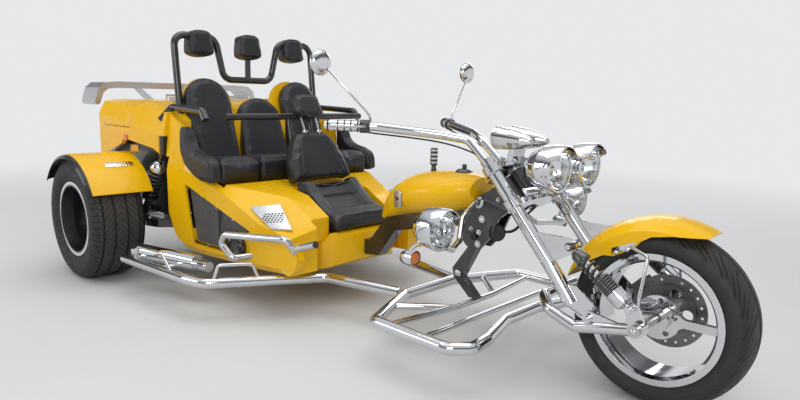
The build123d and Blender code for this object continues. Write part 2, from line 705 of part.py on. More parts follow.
recline = 18.0
back_up = Vector(-math.sin(math.radians(recline)), 0, math.cos(math.radians(recline)))
back_plane = Plane(origin=(rear_x + 540, 0, 690), x_dir=(0, 1, 0), z_dir=Vector(0, 1, 0).cross(back_up))
back_t = 60.0
with BuildPart() as bench_backs:
    for centre, half_low, half_mid, s_mid, s_top in (
        (-310, 132, 132, 300, 450), (0, 168, 110, 250, 336), (310, 132, 132, 300, 450),
    ):
        with BuildSketch(back_plane):
            with BuildLine():
                Polyline((centre + half_mid, s_mid), (centre + half_low, -60), (centre - half_low, -60),
                         (centre - half_mid, s_mid))
                ThreePointArc((centre - half_mid, s_mid), (centre, s_top), (centre + half_mid, s_mid))
            make_face()
        extrude(amount=-back_t)
bench_backs.part.label = "bench_backs"
export_step(bench_backs.part, "parts/bench_backs.step")

with BuildPart() as bench_shell:
    for centre, half_low, half_mid, s_mid, s_top in (
        (-290, 155.5, 155.5, 305, 468), (0, 190, 130, 250, 352), (290, 155.5, 155.5, 305, 468),
    ):
        with BuildSketch(back_plane.offset(-back_t - fit_gap)):
            with BuildLine():
                Polyline((centre + half_mid, s_mid), (centre + half_low, -60), (centre - half_low, -60),
                         (centre - half_mid, s_mid))
                ThreePointArc((centre - half_mid, s_mid), (centre, s_top), (centre + half_mid, s_mid))
            make_face()
        extrude(amount=-24)
bench_shell.part.label = "bench_shell"
export_step(bench_shell.part, "parts/bench_shell.step")


# Rider's seat
rider_half = 205.0
rider_profile = [(1040, 598), (1076, 481), (1178, 357), (1240, 345), (1338, 345), (1352, 400), (1330, 446),
                 (1300, 455), (1175, 530), (1100, 598)]
with BuildPart() as rider_cushion:
    with BuildSketch(side_view):
        with BuildLine():
            Polyline(*rider_profile, close=True)
        make_face()
    extrude(amount=rider_half, both=True)
rider_cushion.part.label = "rider_cushion"
export_step(rider_cushion.part, "parts/rider_cushion.step")

rider_recline = 24.8
rider_up = Vector(-math.sin(math.radians(rider_recline)), 0, math.cos(math.radians(rider_recline)))
rider_plane = Plane(origin=(rear_x + 1062, 0, 612), x_dir=(0, 1, 0), z_dir=Vector(0, 1, 0).cross(rider_up))
with BuildPart() as rider_back:
    with BuildSketch(rider_plane):
        with BuildLine():
            Polyline((130, 226), (200, 100), (206, 0), (-206, 0), (-200, 100), (-130, 226))
            ThreePointArc((-130, 226), (0, 262), (130, 226))
        make_face()
    extrude(amount=-92)
rider_back.part.label = "rider_back"
export_step(rider_back.part, "parts/rider_back.step")

with BuildPart() as rider_headrest:
    with BuildSketch(rider_plane.offset(32)):
        with BuildLine():
            Polyline((96, 340), (84, 470), (-84, 470), (-96, 340), close=True)
        make_face()
    extrude(amount=-64)
    for side in (-1, 1):
        with BuildSketch(Plane(origin=rider_plane.origin - rider_plane.z_dir * 12 + rider_up * 240
                               + Vector(0, side * 48, 0), z_dir=rider_up)):
            Circle(7)
        extrude(amount=110)
    add(rider_back.part, mode=Mode.SUBTRACT)
rider_headrest.part.label = "rider_headrest"
export_step(rider_headrest.part, "parts/rider_headrest.step")

# Tub: side panels, bench well, console
# columns: x, bottom edge in from the side, bottom z, side's lower z, shoulder z, top half width, top z
tub_sections = [
    (400, 20, 260, 296, 690, 530, 925),
    (536, 20, 206, 236, 645, 525, 852),
    (556, 20, 204, 234, 636, 520, 702),
    (694, 20, 198, 228, 590, 512, 612),
    (864, 20, 199, 229, 560, 500, 590),
    (1171, 20, 205, 234, 430, 330, 545),
    (1380, 20, 218, 246, 392, 290, 430),
]
side_half_rear = 560.0
side_draw_in = 0.0867       # side panel's inward run per mm forward
side_wall = 44.0
pocket_depth = 28.0         # radiator pocket in the side panel
with BuildPart() as tub_hollow:
    # open below: side view of the hollow, then its plan
    with BuildSketch(side_view):
        with BuildLine():
            Polyline((380, 100), (380, 553), (850, 553), (1000, 500), (1050, 466), (1150, 342), (1222, 332),
                     (1222, 100), close=True)
        make_face()
    extrude(amount=600, both=True)
    hollow_rear = side_half_rear - side_wall
    hollow_front = side_half_rear - side_wall - side_draw_in * 822
    with BuildSketch(Plane.XY.offset(90)):
        with BuildLine():
            Polyline((rear_x + 380, -hollow_rear), (rear_x + 1222, -hollow_front),
                     (rear_x + 1222, hollow_front), (rear_x + 380, hollow_rear), close=True)
        make_face()
    extrude(amount=500, mode=Mode.INTERSECT)

with BuildPart() as tub:
    for x, tuck, z_low, z_side, z_shoulder, top_half, z_top in tub_sections:
        side_half = side_half_rear - side_draw_in * (x - 400)
        low_half = side_half - tuck
        with BuildSketch(Plane.YZ.offset(rear_x + x)):
            with BuildLine():
                Polyline((low_half, z_low), (side_half, z_side), (side_half, z_shoulder), (top_half, z_top),
                         (-top_half, z_top), (-side_half, z_shoulder), (-side_half, z_side),
                         (-low_half, z_low), close=True)
            make_face()
    loft(ruled=True)
    # lobe at the panel's front end
    for side in (-1, 1):
        with BuildSketch(side_view.offset(-side * (side_half - side_wall))):
            with BuildLine():
                Polyline((1336, 396), (1370, 375), (1405, 355), (1427, 301), (1408, 250), (1370, 217),
                         (1336, 217), close=True)
            make_face()
        extrude(amount=-side * (side_wall - 1))
    # panel's rear edge
    with BuildSketch(side_view):
        with BuildLine():
            Polyline((431, 695), (403, 624), (407, 389), (465, 276), (565, 208), (565, 100), (380, 100),
                     (380, 695), close=True)
        make_face()
    extrude(amount=600, both=True, mode=Mode.SUBTRACT)
    # shallow pocket in each side for the radiator
    for side in (-1, 1):
        panel = Plane(origin=(rear_x + 400, side * side_half_rear, 0), x_dir=(1, -side * side_draw_in, 0),
                      z_dir=(-side * side_draw_in, -1, 0))
        with BuildSketch(panel.offset(-side * 2)):
            with BuildLine():
                Polyline((165, 562), (698, 385), (470, 247), (234, 251), close=True)
            make_face()
        extrude(amount=side * (pocket_depth + 2), mode=Mode.SUBTRACT)
    # bench well
    with BuildSketch(side_view):
        with BuildLine():
            Polyline((470, 1000), (470, bench_floor - fit_gap), (880, bench_floor - fit_gap), (880, 1000),
                     close=True)
        make_face()
    extrude(amount=507, both=True, mode=Mode.SUBTRACT)
    # rider's seat pocket and the gap behind the nose
    with BuildSketch(side_view):
        with BuildLine():
            Polyline((980, 700), (980, 590), (1042, 590), (1074, 480), (1177, 356), (1240, 344),
                     (1400, 344), (1400, 700), close=True)
        make_face()
    extrude(amount=rider_half + 1, both=True, mode=Mode.SUBTRACT)
    with BuildSketch(side_view):
        with BuildLine():
            Polyline((1236, 100), (1236, 345), (1330, 345), (1330, 460), (1400, 460), (1400, 100), close=True)
        make_face()
    extrude(amount=318, both=True, mode=Mode.SUBTRACT)
    # tunnel for the backbone
    with BuildSketch(side_view):
        with BuildLine():
            Polyline((1200, 100), (1200, 335), (1400, 335), (1400, 100), close=True)
        make_face()
    extrude(amount=60, both=True, mode=Mode.SUBTRACT)
    add(tub_hollow.part, mode=Mode.SUBTRACT)
    add(bench_backs.part, mode=Mode.SUBTRACT)
    add(bench_shell.part, mode=Mode.SUBTRACT)
    add(bench_cushions.part, mode=Mode.SUBTRACT)
    add(roll_bar.part, mode=Mode.SUBTRACT)
tub.part.label = "tub"
export_step(tub.part, "parts/tub.step")

# step hoops: both ends turn in to the side panel; ahead of each, a folding peg on the lobe
peg_r = 17.0
with BuildPart() as step_hoops:
    for side in (-1, 1):
        with BuildLine() as run:
            FilletPolyline((rear_x + 1096, side * 486, 268), (rear_x + 1070, side * 580, 262),
                           (rear_x + 1004, side * 604, 330), (rear_x + 1040, side * 604, 376),
                           (rear_x + 1386, side * 508, 398), (rear_x + 1392, side * 462, 340), radius=24)
        with BuildSketch(Plane(origin=run.line @ 0, z_dir=run.line % 0)):
            Circle(17)
        sweep()
        for x_a, y_a, z_a, x_b, y_b, z_b, radius in (
            (1398, 468, 322, 1450, 480, 366, 8), (1438, 480, 362, 1563, 480, 404, peg_r),
        ):
            start = Vector(rear_x + x_a, side * y_a, z_a)
            end = Vector(rear_x + x_b, side * y_b, z_b)
            with BuildSketch(Plane(origin=start, z_dir=end - start)):
                Circle(radius)
            extrude(amount=(end - start).length)
    add(tub.part, mode=Mode.SUBTRACT)
step_hoops.part.label = "step_hoops"
export_step(step_hoops.part, "parts/step_hoops.step")

# handhold behind the rider, on two posts from the console's deck
with BuildPart() as grab_bar:
    with BuildSketch(Plane(origin=(rear_x + 829, 458, 921), x_dir=(1, 0, 0), z_dir=(0, -1, 0))):
        Circle(17)
    extrude(amount=916)
    for side in (-1, 1):
        with BuildLine() as run:
            Polyline((rear_x + 900, side * 70, 575), (rear_x + 829, side * 70, 915))
        with BuildSketch(Plane(origin=run.line @ 0, z_dir=run.line % 0)):
            Circle(13)
        sweep()
    add(tub.part, mode=Mode.SUBTRACT)
grab_bar.part.label = "grab_bar"
export_step(grab_bar.part, "parts/grab_bar.step")

# nose under the rider's knees
with BuildPart() as nose:
    # plan, round at the front
    with BuildSketch(Plane.XY.offset(180)):
        with BuildLine():
            Polyline((rear_x + 1370, 200), (rear_x + 1338, 244), (rear_x + 1290, 278), (rear_x + 1242, 290),
                     (rear_x + 1242, -290), (rear_x + 1290, -278), (rear_x + 1338, -244),
                     (rear_x + 1370, -200))
            ThreePointArc((rear_x + 1370, -200), (rear_x + 1402, 0), (rear_x + 1370, 200))
        make_face()
    extrude(amount=220)
    # side view: flat belly rising forward
    with BuildSketch(side_view):
        with BuildLine():
            Polyline((1242, 234), (1290, 193), (1360, 212), (1398, 238), (1410, 300), (1396, 372),
                     (1356, 382), (1338, 343), (1242, 343), close=True)
        make_face()
    extrude(amount=300, both=True, mode=Mode.INTERSECT)
    # tunnel for the frame's spine
    with BuildSketch(side_view):
        with BuildLine():
            Polyline((1200, 100), (1200, 332), (1336, 332), (1336, 100), close=True)
        make_face()
    extrude(amount=60, both=True, mode=Mode.SUBTRACT)
    with BuildSketch(side_view):
        with BuildLine():
            Polyline((1230, 344), (1356, 344), (1356, 700), (1230, 700), close=True)
        make_face()
    extrude(amount=rider_half + 1, both=True, mode=Mode.SUBTRACT)
    add(backbone.part, mode=Mode.SUBTRACT)
nose.part.label = "nose"
export_step(nose.part, "parts/nose.step")

# Tail with its boot, and the boot lid
lid_edge = 62.0
inner_wall = 546.0          # outer face of the boot's side wall
lid_z = 830.0
# columns: x, side half width, side's lower z, crease z, top edge half width, top edge z, deck half width, deck z
tail_sections = [
    (-354, 598, 655, 900, 560, 970, 480, 985),
    (70, 600, 705, 846, 562, 955, 486, 982),
    (399.7, 572, 700, 794, 545, 925, 480, 938),
]
with BuildPart() as tail_form:
    for x, side_half, z_low, z_crease, edge_half, z_edge, deck_half, z_deck in tail_sections:
        with BuildSketch(Plane.YZ.offset(rear_x + x)):
            with BuildLine():
                Polyline((side_half - 24, z_low), (side_half, z_low), (side_half, z_crease),
                         (edge_half, z_edge), (deck_half, z_deck), (-deck_half, z_deck),
                         (-edge_half, z_edge), (-side_half, z_crease), (-side_half, z_low),
                         (-side_half + 24, z_low), close=True)
            make_face()
    loft(ruled=True)

with BuildPart() as tail:
    add(tail_form.part)
    # boot, open to the top under the lid
    with BuildSketch(side_view):
        with BuildLine():
            Polyline((-336, 672), (-336, 1100), (lid_edge - 16, 1100), (lid_edge - 16, 722), close=True)
        make_face()
    extrude(amount=inner_wall - 16, both=True, mode=Mode.SUBTRACT)
    # wheel arch: the outer skin stops above the tyre, the inner wall runs on
    for side in (-1, 1):
        with BuildSketch(side_view.offset(-side * inner_wall)):
            with BuildLine():
                Polyline((-309, 655), (-58, 733), (-27, 770), (299, 730), (383, 693), (420, 680), (420, 600),
                         (-420, 600), (-420, 640), close=True)
            make_face()
        extrude(amount=-side * 80, mode=Mode.SUBTRACT)
    # everything the lid covers
    with BuildSketch(side_view):
        with BuildLine():
            Polyline((-400, lid_z), (-400, 1100), (lid_edge, 1100), (lid_edge, lid_z), close=True)
        make_face()
    extrude(amount=700, both=True, mode=Mode.SUBTRACT)
    # room for the seat shell
    with BuildSketch(side_view):
        with BuildLine():
            Polyline((330, 600), (330, 1100), (410, 1100), (410, 600), close=True)
        make_face()
    extrude(amount=470, both=True, mode=Mode.SUBTRACT)
    add(armrests.part, mode=Mode.SUBTRACT)
    add(roll_bar.part, mode=Mode.SUBTRACT)
tail.part.label = "tail"
export_step(tail.part, "parts/tail.step")

hinge_spots = (-300, 300)
hinge_leaf = 36.0
hinge_side = 1.0            # side play between knuckles
hinge_z = 996.0
hinge_pin_r = 5.0
hinge_plane = Plane(origin=(rear_x + lid_edge + 4, 0, hinge_z), x_dir=(1, 0, 0), z_dir=(0, -1, 0))
with BuildPart() as boot_lid:
    add(tail_form.part)
    with BuildSketch(side_view):
        with BuildLine():
            Polyline((-400, lid_z + 4), (-400, 1100), (lid_edge - 5, 1100), (lid_edge - 5, lid_z + 4),
                     close=True)
        make_face()
    extrude(amount=700, both=True, mode=Mode.INTERSECT)
    with BuildSketch(side_view):
        with BuildLine():
            Polyline((-338, 700), (-338, 938), (lid_edge - 20, 934), (lid_edge - 20, 700), close=True)
        make_face()
    extrude(amount=545, both=True, mode=Mode.SUBTRACT)
    # lid's hinge leaves: each lies on the lid and rolls round the pin
    for y in hinge_spots:
        with BuildSketch(hinge_plane.offset(-y)):
            with BuildLine():
                Polyline((-52, -12), (-52, -19), (-10, -16), (0, -11), (10, -5), (10, 5), (0, 10), (-10, 6),
                         (-14, -8), close=True)
            make_face()
            Circle(hinge_pin_r + pin_gap, mode=Mode.SUBTRACT)
        extrude(amount=hinge_leaf / 2, both=True)
boot_lid.part.label = "boot_lid"
export_step(boot_lid.part, "parts/boot_lid.step")

with BuildPart() as lid_hinges:
    for y in hinge_spots:
        # pin in the middle knuckle, leaves of the tail on both sides of it
        with BuildSketch(hinge_plane.offset(-y - 1.5 * hinge_leaf - hinge_side)):
            Circle(hinge_pin_r)
        extrude(amount=3 * hinge_leaf + 2 * hinge_side)
        for start in (-1.5 * hinge_leaf - hinge_side, 0.5 * hinge_leaf + hinge_side):
            with BuildSketch(hinge_plane.offset(-y + start)):
                with BuildLine():
                    Polyline((-9, -6), (-9, 6), (0, 10), (10, 6), (50, -12), (50, -30), (0, -12), close=True)
                make_face()
            extrude(amount=hinge_leaf)
    add(tail.part, mode=Mode.SUBTRACT)
lid_hinges.part.label = "lid_hinges"
export_step(lid_hinges.part, "parts/lid_hinges.step")

with BuildPart() as luggage_rack:
    for half_y, x_a, x_b in ((240, -230, 20),):
        with BuildLine() as run:
            FilletPolyline((rear_x + x_a, -half_y, 1012), (rear_x + x_b, -half_y, 1012),
                           (rear_x + x_b, half_y, 1012), (rear_x + x_a, half_y, 1012),
                           radius=40, close=True)
        with BuildSketch(Plane(origin=run.line @ 0, z_dir=run.line % 0)):
            Circle(6)
        sweep()
    for x, y in ((-200, -240), (-10, -240), (-200, 240), (-10, 240)):
        with BuildSketch(Plane.XY.offset(976)):
            with Locations((rear_x + x, y)):
                Circle(6)
        extrude(amount=36)
    add(boot_lid.part, mode=Mode.SUBTRACT)
luggage_rack.part.label = "luggage_rack"
export_step(luggage_rack.part, "parts/luggage_rack.step")

with BuildPart() as spoiler:
    with BuildSketch(Plane.YZ.offset(rear_x - tail_reach)):
        with BuildLine():
            Polyline((-578, 945), (-586, 962), (-560, 1050), (-520, 1082), (-440, 1090), (440, 1090),
                     (520, 1082), (560, 1050), (586, 962), (578, 945), (556, 950), (530, 1020), (500, 1044),
                     (440, 1050), (-440, 1050), (-500, 1044), (-530, 1020), (-556, 950), close=True)
        make_face()
    extrude(amount=210)
    for y in (-300, 300):
        with BuildSketch(side_view.offset(-y)):
            with BuildLine():
                Polyline((-500, 1052), (-338, 976), (-238, 976), (-440, 1052), close=True)
            make_face()
        extrude(amount=12, both=True)
    add(boot_lid.part, mode=Mode.SUBTRACT)
spoiler.part.label = "spoiler"
export_step(spoiler.part, "parts/spoiler.step")

# Rear mudguards
with BuildPart() as rear_fenders:
    for side in (-1, 1):
        axle_line = Axis((rear_x, side * rear_wheel_y, rear_tyre_r), (0, 1, 0))
        start_radial = Vector(-math.sin(math.radians(56)), 0, math.cos(math.radians(56)))
        guard_plane = Plane(origin=(rear_x, 0, rear_tyre_r), x_dir=(0, 1, 0),
                            z_dir=Vector(0, 1, 0).cross(start_radial))
        with BuildSketch(guard_plane):
            with BuildLine():
                Polyline((side * 600.3, 350), (side * 600.3, 360), (side * 905, 360), (side * 934, 350),
                         (side * 942, 334), (side * 934, 334), (side * 930, 344), (side * 902, 351),
                         close=True)
            make_face()
        revolve(axis=axle_line, revolution_arc=118)
        # angle bracket to the boot's side wall
        with BuildSketch(side_view.offset(-side * (inner_wall + fit_gap))):
            with BuildLine():
                Polyline((-50, 684), (-50, 726), (50, 730), (50, 684), close=True)
            make_face()
        extrude(amount=-side * 4)
        with BuildSketch(side_view.offset(-side * (inner_wall + fit_gap))):
            with BuildLine():
                Polyline((-50, 684), (-50, 690), (50, 690), (50, 684), close=True)
            make_face()
        extrude(amount=-side * 56)
rear_fenders.part.label = "rear_fenders"
export_step(rear_fenders.part, "parts/rear_fenders.step")

# Engine, rear frame, arms, shafts, spring units
with BuildPart() as engine:
    with BuildSketch(Plane.XY.offset(232)):
        with Locations((rear_x - 30, 0)):
            Rectangle(460, 520)
    extrude(amount=370)
    with BuildSketch(Plane(origin=(rear_x, 270, rear_tyre_r), x_dir=(1, 0, 0), z_dir=(0, -1, 0))):
        Circle(62)
    extrude(amount=540)
engine.part.label = "engine"
export_step(engine.part, "parts/engine.step")

frame_low = 222.0
frame_high = 280.0
with BuildPart() as rear_frame:
    for side in (-1, 1):
        with BuildSketch(Plane.XY.offset(frame_low)):
            with Locations((rear_x + 90, side * 330)):
                Rectangle(760, 50)
        extrude(amount=frame_high - frame_low)
    for x in (-265, 300, 455):
        with BuildSketch(Plane.XY.offset(frame_low)):
            with Locations((rear_x + x, 0)):
                Rectangle(50, 610)
        extrude(amount=frame_high - frame_low)
    with BuildSketch(Plane.XY.offset(frame_low)):
        with Locations((rear_x + 900, 0)):
            Rectangle(860, 110)
    extrude(amount=frame_high - frame_low)
    add(backbone.part, mode=Mode.SUBTRACT)
    add(engine.part, mode=Mode.SUBTRACT)
rear_frame.part.label = "rear_frame"
export_step(rear_frame.part, "parts/rear_frame.step")

with BuildPart() as rear_arms:
    for side in (-1, 1):
        with BuildSketch(Plane.XY.offset(288)):
            with BuildLine():
                Polyline((rear_x + 440, side * 356), (rear_x + 500, side * 356), (rear_x + 490, side * 400),
                         (rear_x + 425, side * 420), (rear_x + 300, side * 570), (rear_x + 70, side * 640),
                         (rear_x - 70, side * 640), (rear_x - 70, side * 580), (rear_x + 60, side * 570),
                         (rear_x + 200, side * 500), close=True)
            make_face()
        extrude(amount=44)
        with BuildSketch(Plane(origin=(rear_x, side * 560, rear_tyre_r), x_dir=(1, 0, 0), z_dir=(0, side, 0))):
            Circle(64)
        extrude(amount=144)
        with BuildSketch(Plane(origin=(rear_x, side * 700, rear_tyre_r), x_dir=(1, 0, 0), z_dir=(0, side, 0))):
            Circle(rear_stub_r)
        extrude(amount=rear_wheel_y + 16 - 700)
rear_arms.part.label = "rear_arms"
export_step(rear_arms.part, "parts/rear_arms.step")

with BuildPart() as drive_shafts:
    for side in (-1, 1):
        with BuildSketch(Plane(origin=(rear_x, side * 270.3, rear_tyre_r), x_dir=(1, 0, 0), z_dir=(0, side, 0))):
            Circle(16)
        extrude(amount=560 - 270.6)
        for start, radius in ((270.3, 46), (490, 42)):
            with BuildSketch(Plane(origin=(rear_x, side * start, rear_tyre_r), x_dir=(1, 0, 0), z_dir=(0, side, 0))):
                Circle(radius)
            extrude(amount=62, taper=10)
drive_shafts.part.label = "drive_shafts"
export_step(drive_shafts.part, "parts/drive_shafts.step")

with BuildPart() as rear_shocks:
    for side in (-1, 1):
        top = Vector(rear_x + 316.5, side * 540, 687)
        low = Vector(rear_x + 118.6, side * 560, rear_tyre_r + 14 + fit_gap)
        unit = Plane(origin=low, z_dir=(top - low))
        for radius, start, length in ((9, 0, (top - low).length), (32, 118, 182), (20, 18, 104), (24, 300, 40)):
            with BuildSketch(unit.offset(start)):
                Circle(radius)
            extrude(amount=length)
        for spot in (low, top):
            with BuildSketch(Plane(origin=spot, x_dir=(1, 0, 0), z_dir=(0, side, 0))):
                Circle(14)
            extrude(amount=12, both=True)
rear_shocks.part.label = "rear_shocks"
export_step(rear_shocks.part, "parts/rear_shocks.step")

# inner walls of the wheelhouses, between the engine and the spring units
with BuildPart() as inner_arches:
    for side in (-1, 1):
        with BuildSketch(side_view.offset(-side * 496)):
            with BuildLine():
                Polyline((-300, 350), (-300, 661), (70, 704.7), (398, 699.7), (398, 350), close=True)
            make_face()
            with Locations((0, rear_tyre_r)):
                Circle(70, mode=Mode.SUBTRACT)
        extrude(amount=-side * 4)
inner_arches.part.label = "inner_arches"
export_step(inner_arches.part, "parts/inner_arches.step")

# Tank, cap, lever
# columns: x, half width, lower z, upper z
tank_sections = [(1516, 26, 452, 500), (1600, 86, 478, 616), (1720, 140, 510, 694), (1860, 162, 536, 724),
                 (2000, 140, 566, 732), (2084, 84, 606, 716)]
with BuildPart() as tank:
    for x, half, z_low, z_top in tank_sections:
        with BuildSketch(Plane.YZ.offset(rear_x + x)):
            with Locations((0, (z_low + z_top) / 2)):
                Ellipse(half, (z_top - z_low) / 2)
    loft()
    add(steering_head.part, mode=Mode.SUBTRACT)
    add(backbone.part, mode=Mode.SUBTRACT)
tank.part.label = "tank"
export_step(tank.part, "parts/tank.step")

with BuildPart() as tank_fittings:
    with BuildSketch(Plane.XY.offset(716)):
        with Locations((rear_x + 1985, 0)):
            Circle(40)
    extrude(amount=28)
    with BuildSketch(Plane.XY.offset(700)):
        with Locations((rear_x + 1812, 0)):
            Circle(9)
    extrude(amount=50)
    with BuildSketch(Plane.XY.offset(750)):
        with Locations((rear_x + 1812, 0)):
            Circle(17)
    extrude(amount=72)
    add(tank.part, mode=Mode.SUBTRACT)
tank_fittings.part.label = "tank_fittings"
export_step(tank_fittings.part, "parts/tank_fittings.step")

# Side lamps on bent stalks from the steering head
side_lamp_profile = [(0, 0), (0, 72), (-14, 76), (-60, 68), (-96, 44), (-118, 20), (-124, 0)]
with BuildPart() as side_lamps:
    for side in (-1, 1):
        centre = Vector(rear_x + 2274, side * 500, 588)
        with BuildLine() as run:
            FilletPolyline((rear_x + 2108, side * (45 + fit_gap), 618), (rear_x + 2108, side * 84, 618),
                           (rear_x + 2131, side * 190, 570), (rear_x + 2190, side * 282, 502),
                           (rear_x + 2250, side * 400, 497), (rear_x + 2262, side * 490, 530), radius=25)
        with BuildSketch(Plane(origin=run.line @ 0, z_dir=run.line % 0)):
            Circle(12)
        sweep()
        with BuildSketch(Plane(origin=centre, x_dir=(1, 0, 0), z_dir=(0, -1, 0))):
            with BuildLine():
                Polyline(*side_lamp_profile, close=True)
            make_face()
        revolve(axis=Axis(tuple(centre), (1, 0, 0)))
side_lamps.part.label = "side_lamps"
export_step(side_lamps.part, "parts/side_lamps.step")
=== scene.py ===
import json
import math

import bmesh
import bpy
from mathutils import Matrix, Vector

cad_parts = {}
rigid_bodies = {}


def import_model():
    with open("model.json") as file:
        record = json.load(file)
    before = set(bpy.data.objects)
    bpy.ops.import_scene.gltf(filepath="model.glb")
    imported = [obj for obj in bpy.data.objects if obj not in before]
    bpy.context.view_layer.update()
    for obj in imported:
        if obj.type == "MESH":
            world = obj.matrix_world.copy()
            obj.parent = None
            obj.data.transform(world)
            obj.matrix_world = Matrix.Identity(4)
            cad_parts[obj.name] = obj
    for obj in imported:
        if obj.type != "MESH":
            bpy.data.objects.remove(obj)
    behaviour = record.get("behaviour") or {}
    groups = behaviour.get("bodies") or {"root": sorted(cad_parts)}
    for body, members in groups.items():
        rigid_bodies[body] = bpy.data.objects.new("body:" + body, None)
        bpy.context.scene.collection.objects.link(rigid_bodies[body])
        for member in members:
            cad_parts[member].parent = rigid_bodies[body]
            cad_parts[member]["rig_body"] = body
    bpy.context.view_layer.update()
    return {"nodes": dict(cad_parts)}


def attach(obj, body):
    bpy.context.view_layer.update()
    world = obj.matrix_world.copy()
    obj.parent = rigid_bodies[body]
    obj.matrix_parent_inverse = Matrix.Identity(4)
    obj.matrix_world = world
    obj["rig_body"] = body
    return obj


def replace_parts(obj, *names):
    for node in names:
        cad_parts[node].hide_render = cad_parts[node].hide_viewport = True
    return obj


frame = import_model()
nodes = frame["nodes"]

# The view: from ahead of the trike's right front corner, a metre above the ground, looking back along it.
# Angles and place were solved from the wheels' outlines, so the picture and the frame agree to a few
# millimetres. Widths and lengths in the picture are in its pixels, places are in metres.
rear_x = -1.272
picture_width, focal_length, middle_shift = 800, 632.91, 10.587
camera_ahead, camera_left, camera_height = 3.6442, -2.1894, 1.0470
heading, pitch, roll = [math.radians(angle) for angle in (42.882, 10.266, 1.536)]
level = math.cos(pitch)
away = Vector((-math.sin(heading) * level, math.cos(heading) * level, -math.sin(pitch)))
across = Vector((math.cos(heading), math.sin(heading), 0))
upward = across.cross(away)
right = across * math.cos(roll) + upward * math.sin(roll)
top = upward * math.cos(roll) - across * math.sin(roll)
camera = bpy.data.objects.new("camera", bpy.data.cameras.new("camera"))
camera.data.lens = focal_length / picture_width * camera.data.sensor_width
camera.data.shift_y = middle_shift / picture_width
camera.matrix_world = Matrix((
    (right.x, top.x, -away.x, rear_x + camera_ahead),
    (right.y, top.y, -away.y, camera_left),
    (right.z, top.z, -away.z, camera_height),
    (0, 0, 0, 1),
))
bpy.context.scene.collection.objects.link(camera)
bpy.context.scene.camera = camera
bpy.context.scene.view_settings.view_transform = "Standard"


# Finishes are worked out as arithmetic on wires: a wire is one value in a finish's node tree, and a sum or
# a product of wires adds its own nodes.
class Wire:
    def __init__(self, tree, socket=None):
        self.tree = tree
        self.socket = socket

    def node(self, kind, settings=None, inputs=None, output=0):
        made = self.tree.nodes.new(kind)
        for name, value in (settings or {}).items():
            if name == "stops":
                ramp = made.color_ramp.elements
                for place, colour in value[2:]:
                    ramp.new(place)
                for element, (place, colour) in zip(ramp, value):
                    element.position = place
                    element.color = (*colour, 1)
            else:
                setattr(made, name, value)
        for name, value in (inputs or {}).items():
            if isinstance(value, Wire):
                self.tree.links.new(value.socket, made.inputs[name])
            else:
                made.inputs[name].default_value = value
        return Wire(self.tree, made.outputs[output])

    def do(self, operation, *others):
        return self.node("ShaderNodeMath", {"operation": operation}, dict(enumerate((self, *others))))

    def __add__(self, other):
        return self.do("ADD", other)

    __radd__ = __add__

    def __sub__(self, other):
        return self.do("SUBTRACT", other)

    def __rsub__(self, other):
        return self.do("MULTIPLY", -1).do("ADD", other)

    def __mul__(self, other):
        return self.do("MULTIPLY", other)

    __rmul__ = __mul__

    def __truediv__(self, other):
        return self.do("DIVIDE", other)

    def __gt__(self, other):
        return self.do("GREATER_THAN", other)

    def place(self):
        return self.node("ShaderNodeTexCoord", output=3)

    def part(self, axis):
        return self.node("ShaderNodeSeparateXYZ", inputs={0: self}, output="XYZ".index(axis))

    def noise(self, scale, detail=3.0, rough=0.5, at=None):
        return self.node("ShaderNodeTexNoise", inputs={
            "Vector": at or self.place(), "Scale": scale, "Detail": detail, "Roughness": rough,
        })

    def blend(self, amount, low, high):
        low, high = [side if isinstance(side, Wire) else (*side, 1) for side in (low, high)]
        return self.node("ShaderNodeMix", {"data_type": "RGBA"}, {0: amount, 6: low, 7: high}, 2)

    def between(self, low, high, out_low=0.0, out_high=1.0):
        ends = {0: self, 1: low, 2: high, 3: out_low, 4: out_high}
        return self.node("ShaderNodeMapRange", {"interpolation_type": "SMOOTHSTEP"}, ends)

    def under(self, low, high):
        return self.between(low, high, 1.0, 0.0)

    def band(self, rise, full, fall, end):
        return self.between(rise, full) * self.under(fall, end)

    def mottle(self, scale, low, high, detail=3.0):
        return self.noise(scale, detail).between(0.3, 0.7, low, high)

    def size(self):
        return self.do("ABSOLUTE")

    def cycle(self):
        return self.do("FRACT")

    def zigzag(self):
        return self.cycle().do("PINGPONG", 0.5)

    def around(self, x, z):
        """How far a spot lies ahead of a wheel's middle, above it and from it."""
        along, height = self.place().part("X") - x, self.place().part("Z") - z
        return along, height, (along * along + height * height).do("SQRT")

    def bump(self, height, distance=0.001, strength=1.0):
        inputs = {"Height": height, "Distance": distance, "Strength": strength}
        return self.node("ShaderNodeBump", inputs=inputs)


def finish(name, **fixed):
    """An empty finish: its material, its surface shader and a first wire to start sums from."""
    made = bpy.data.materials.new(name)
    made.use_nodes = True
    shader = made.node_tree.nodes["Principled BSDF"]
    for socket, value in fixed.items():
        shader.inputs[socket.replace("_", " ")].default_value = value
    return made, shader, Wire(made.node_tree)


def wire_to(shader, **wires):
    for socket, wire in wires.items():
        wire.tree.links.new(wire.socket, shader.inputs[socket.replace("_", " ")])


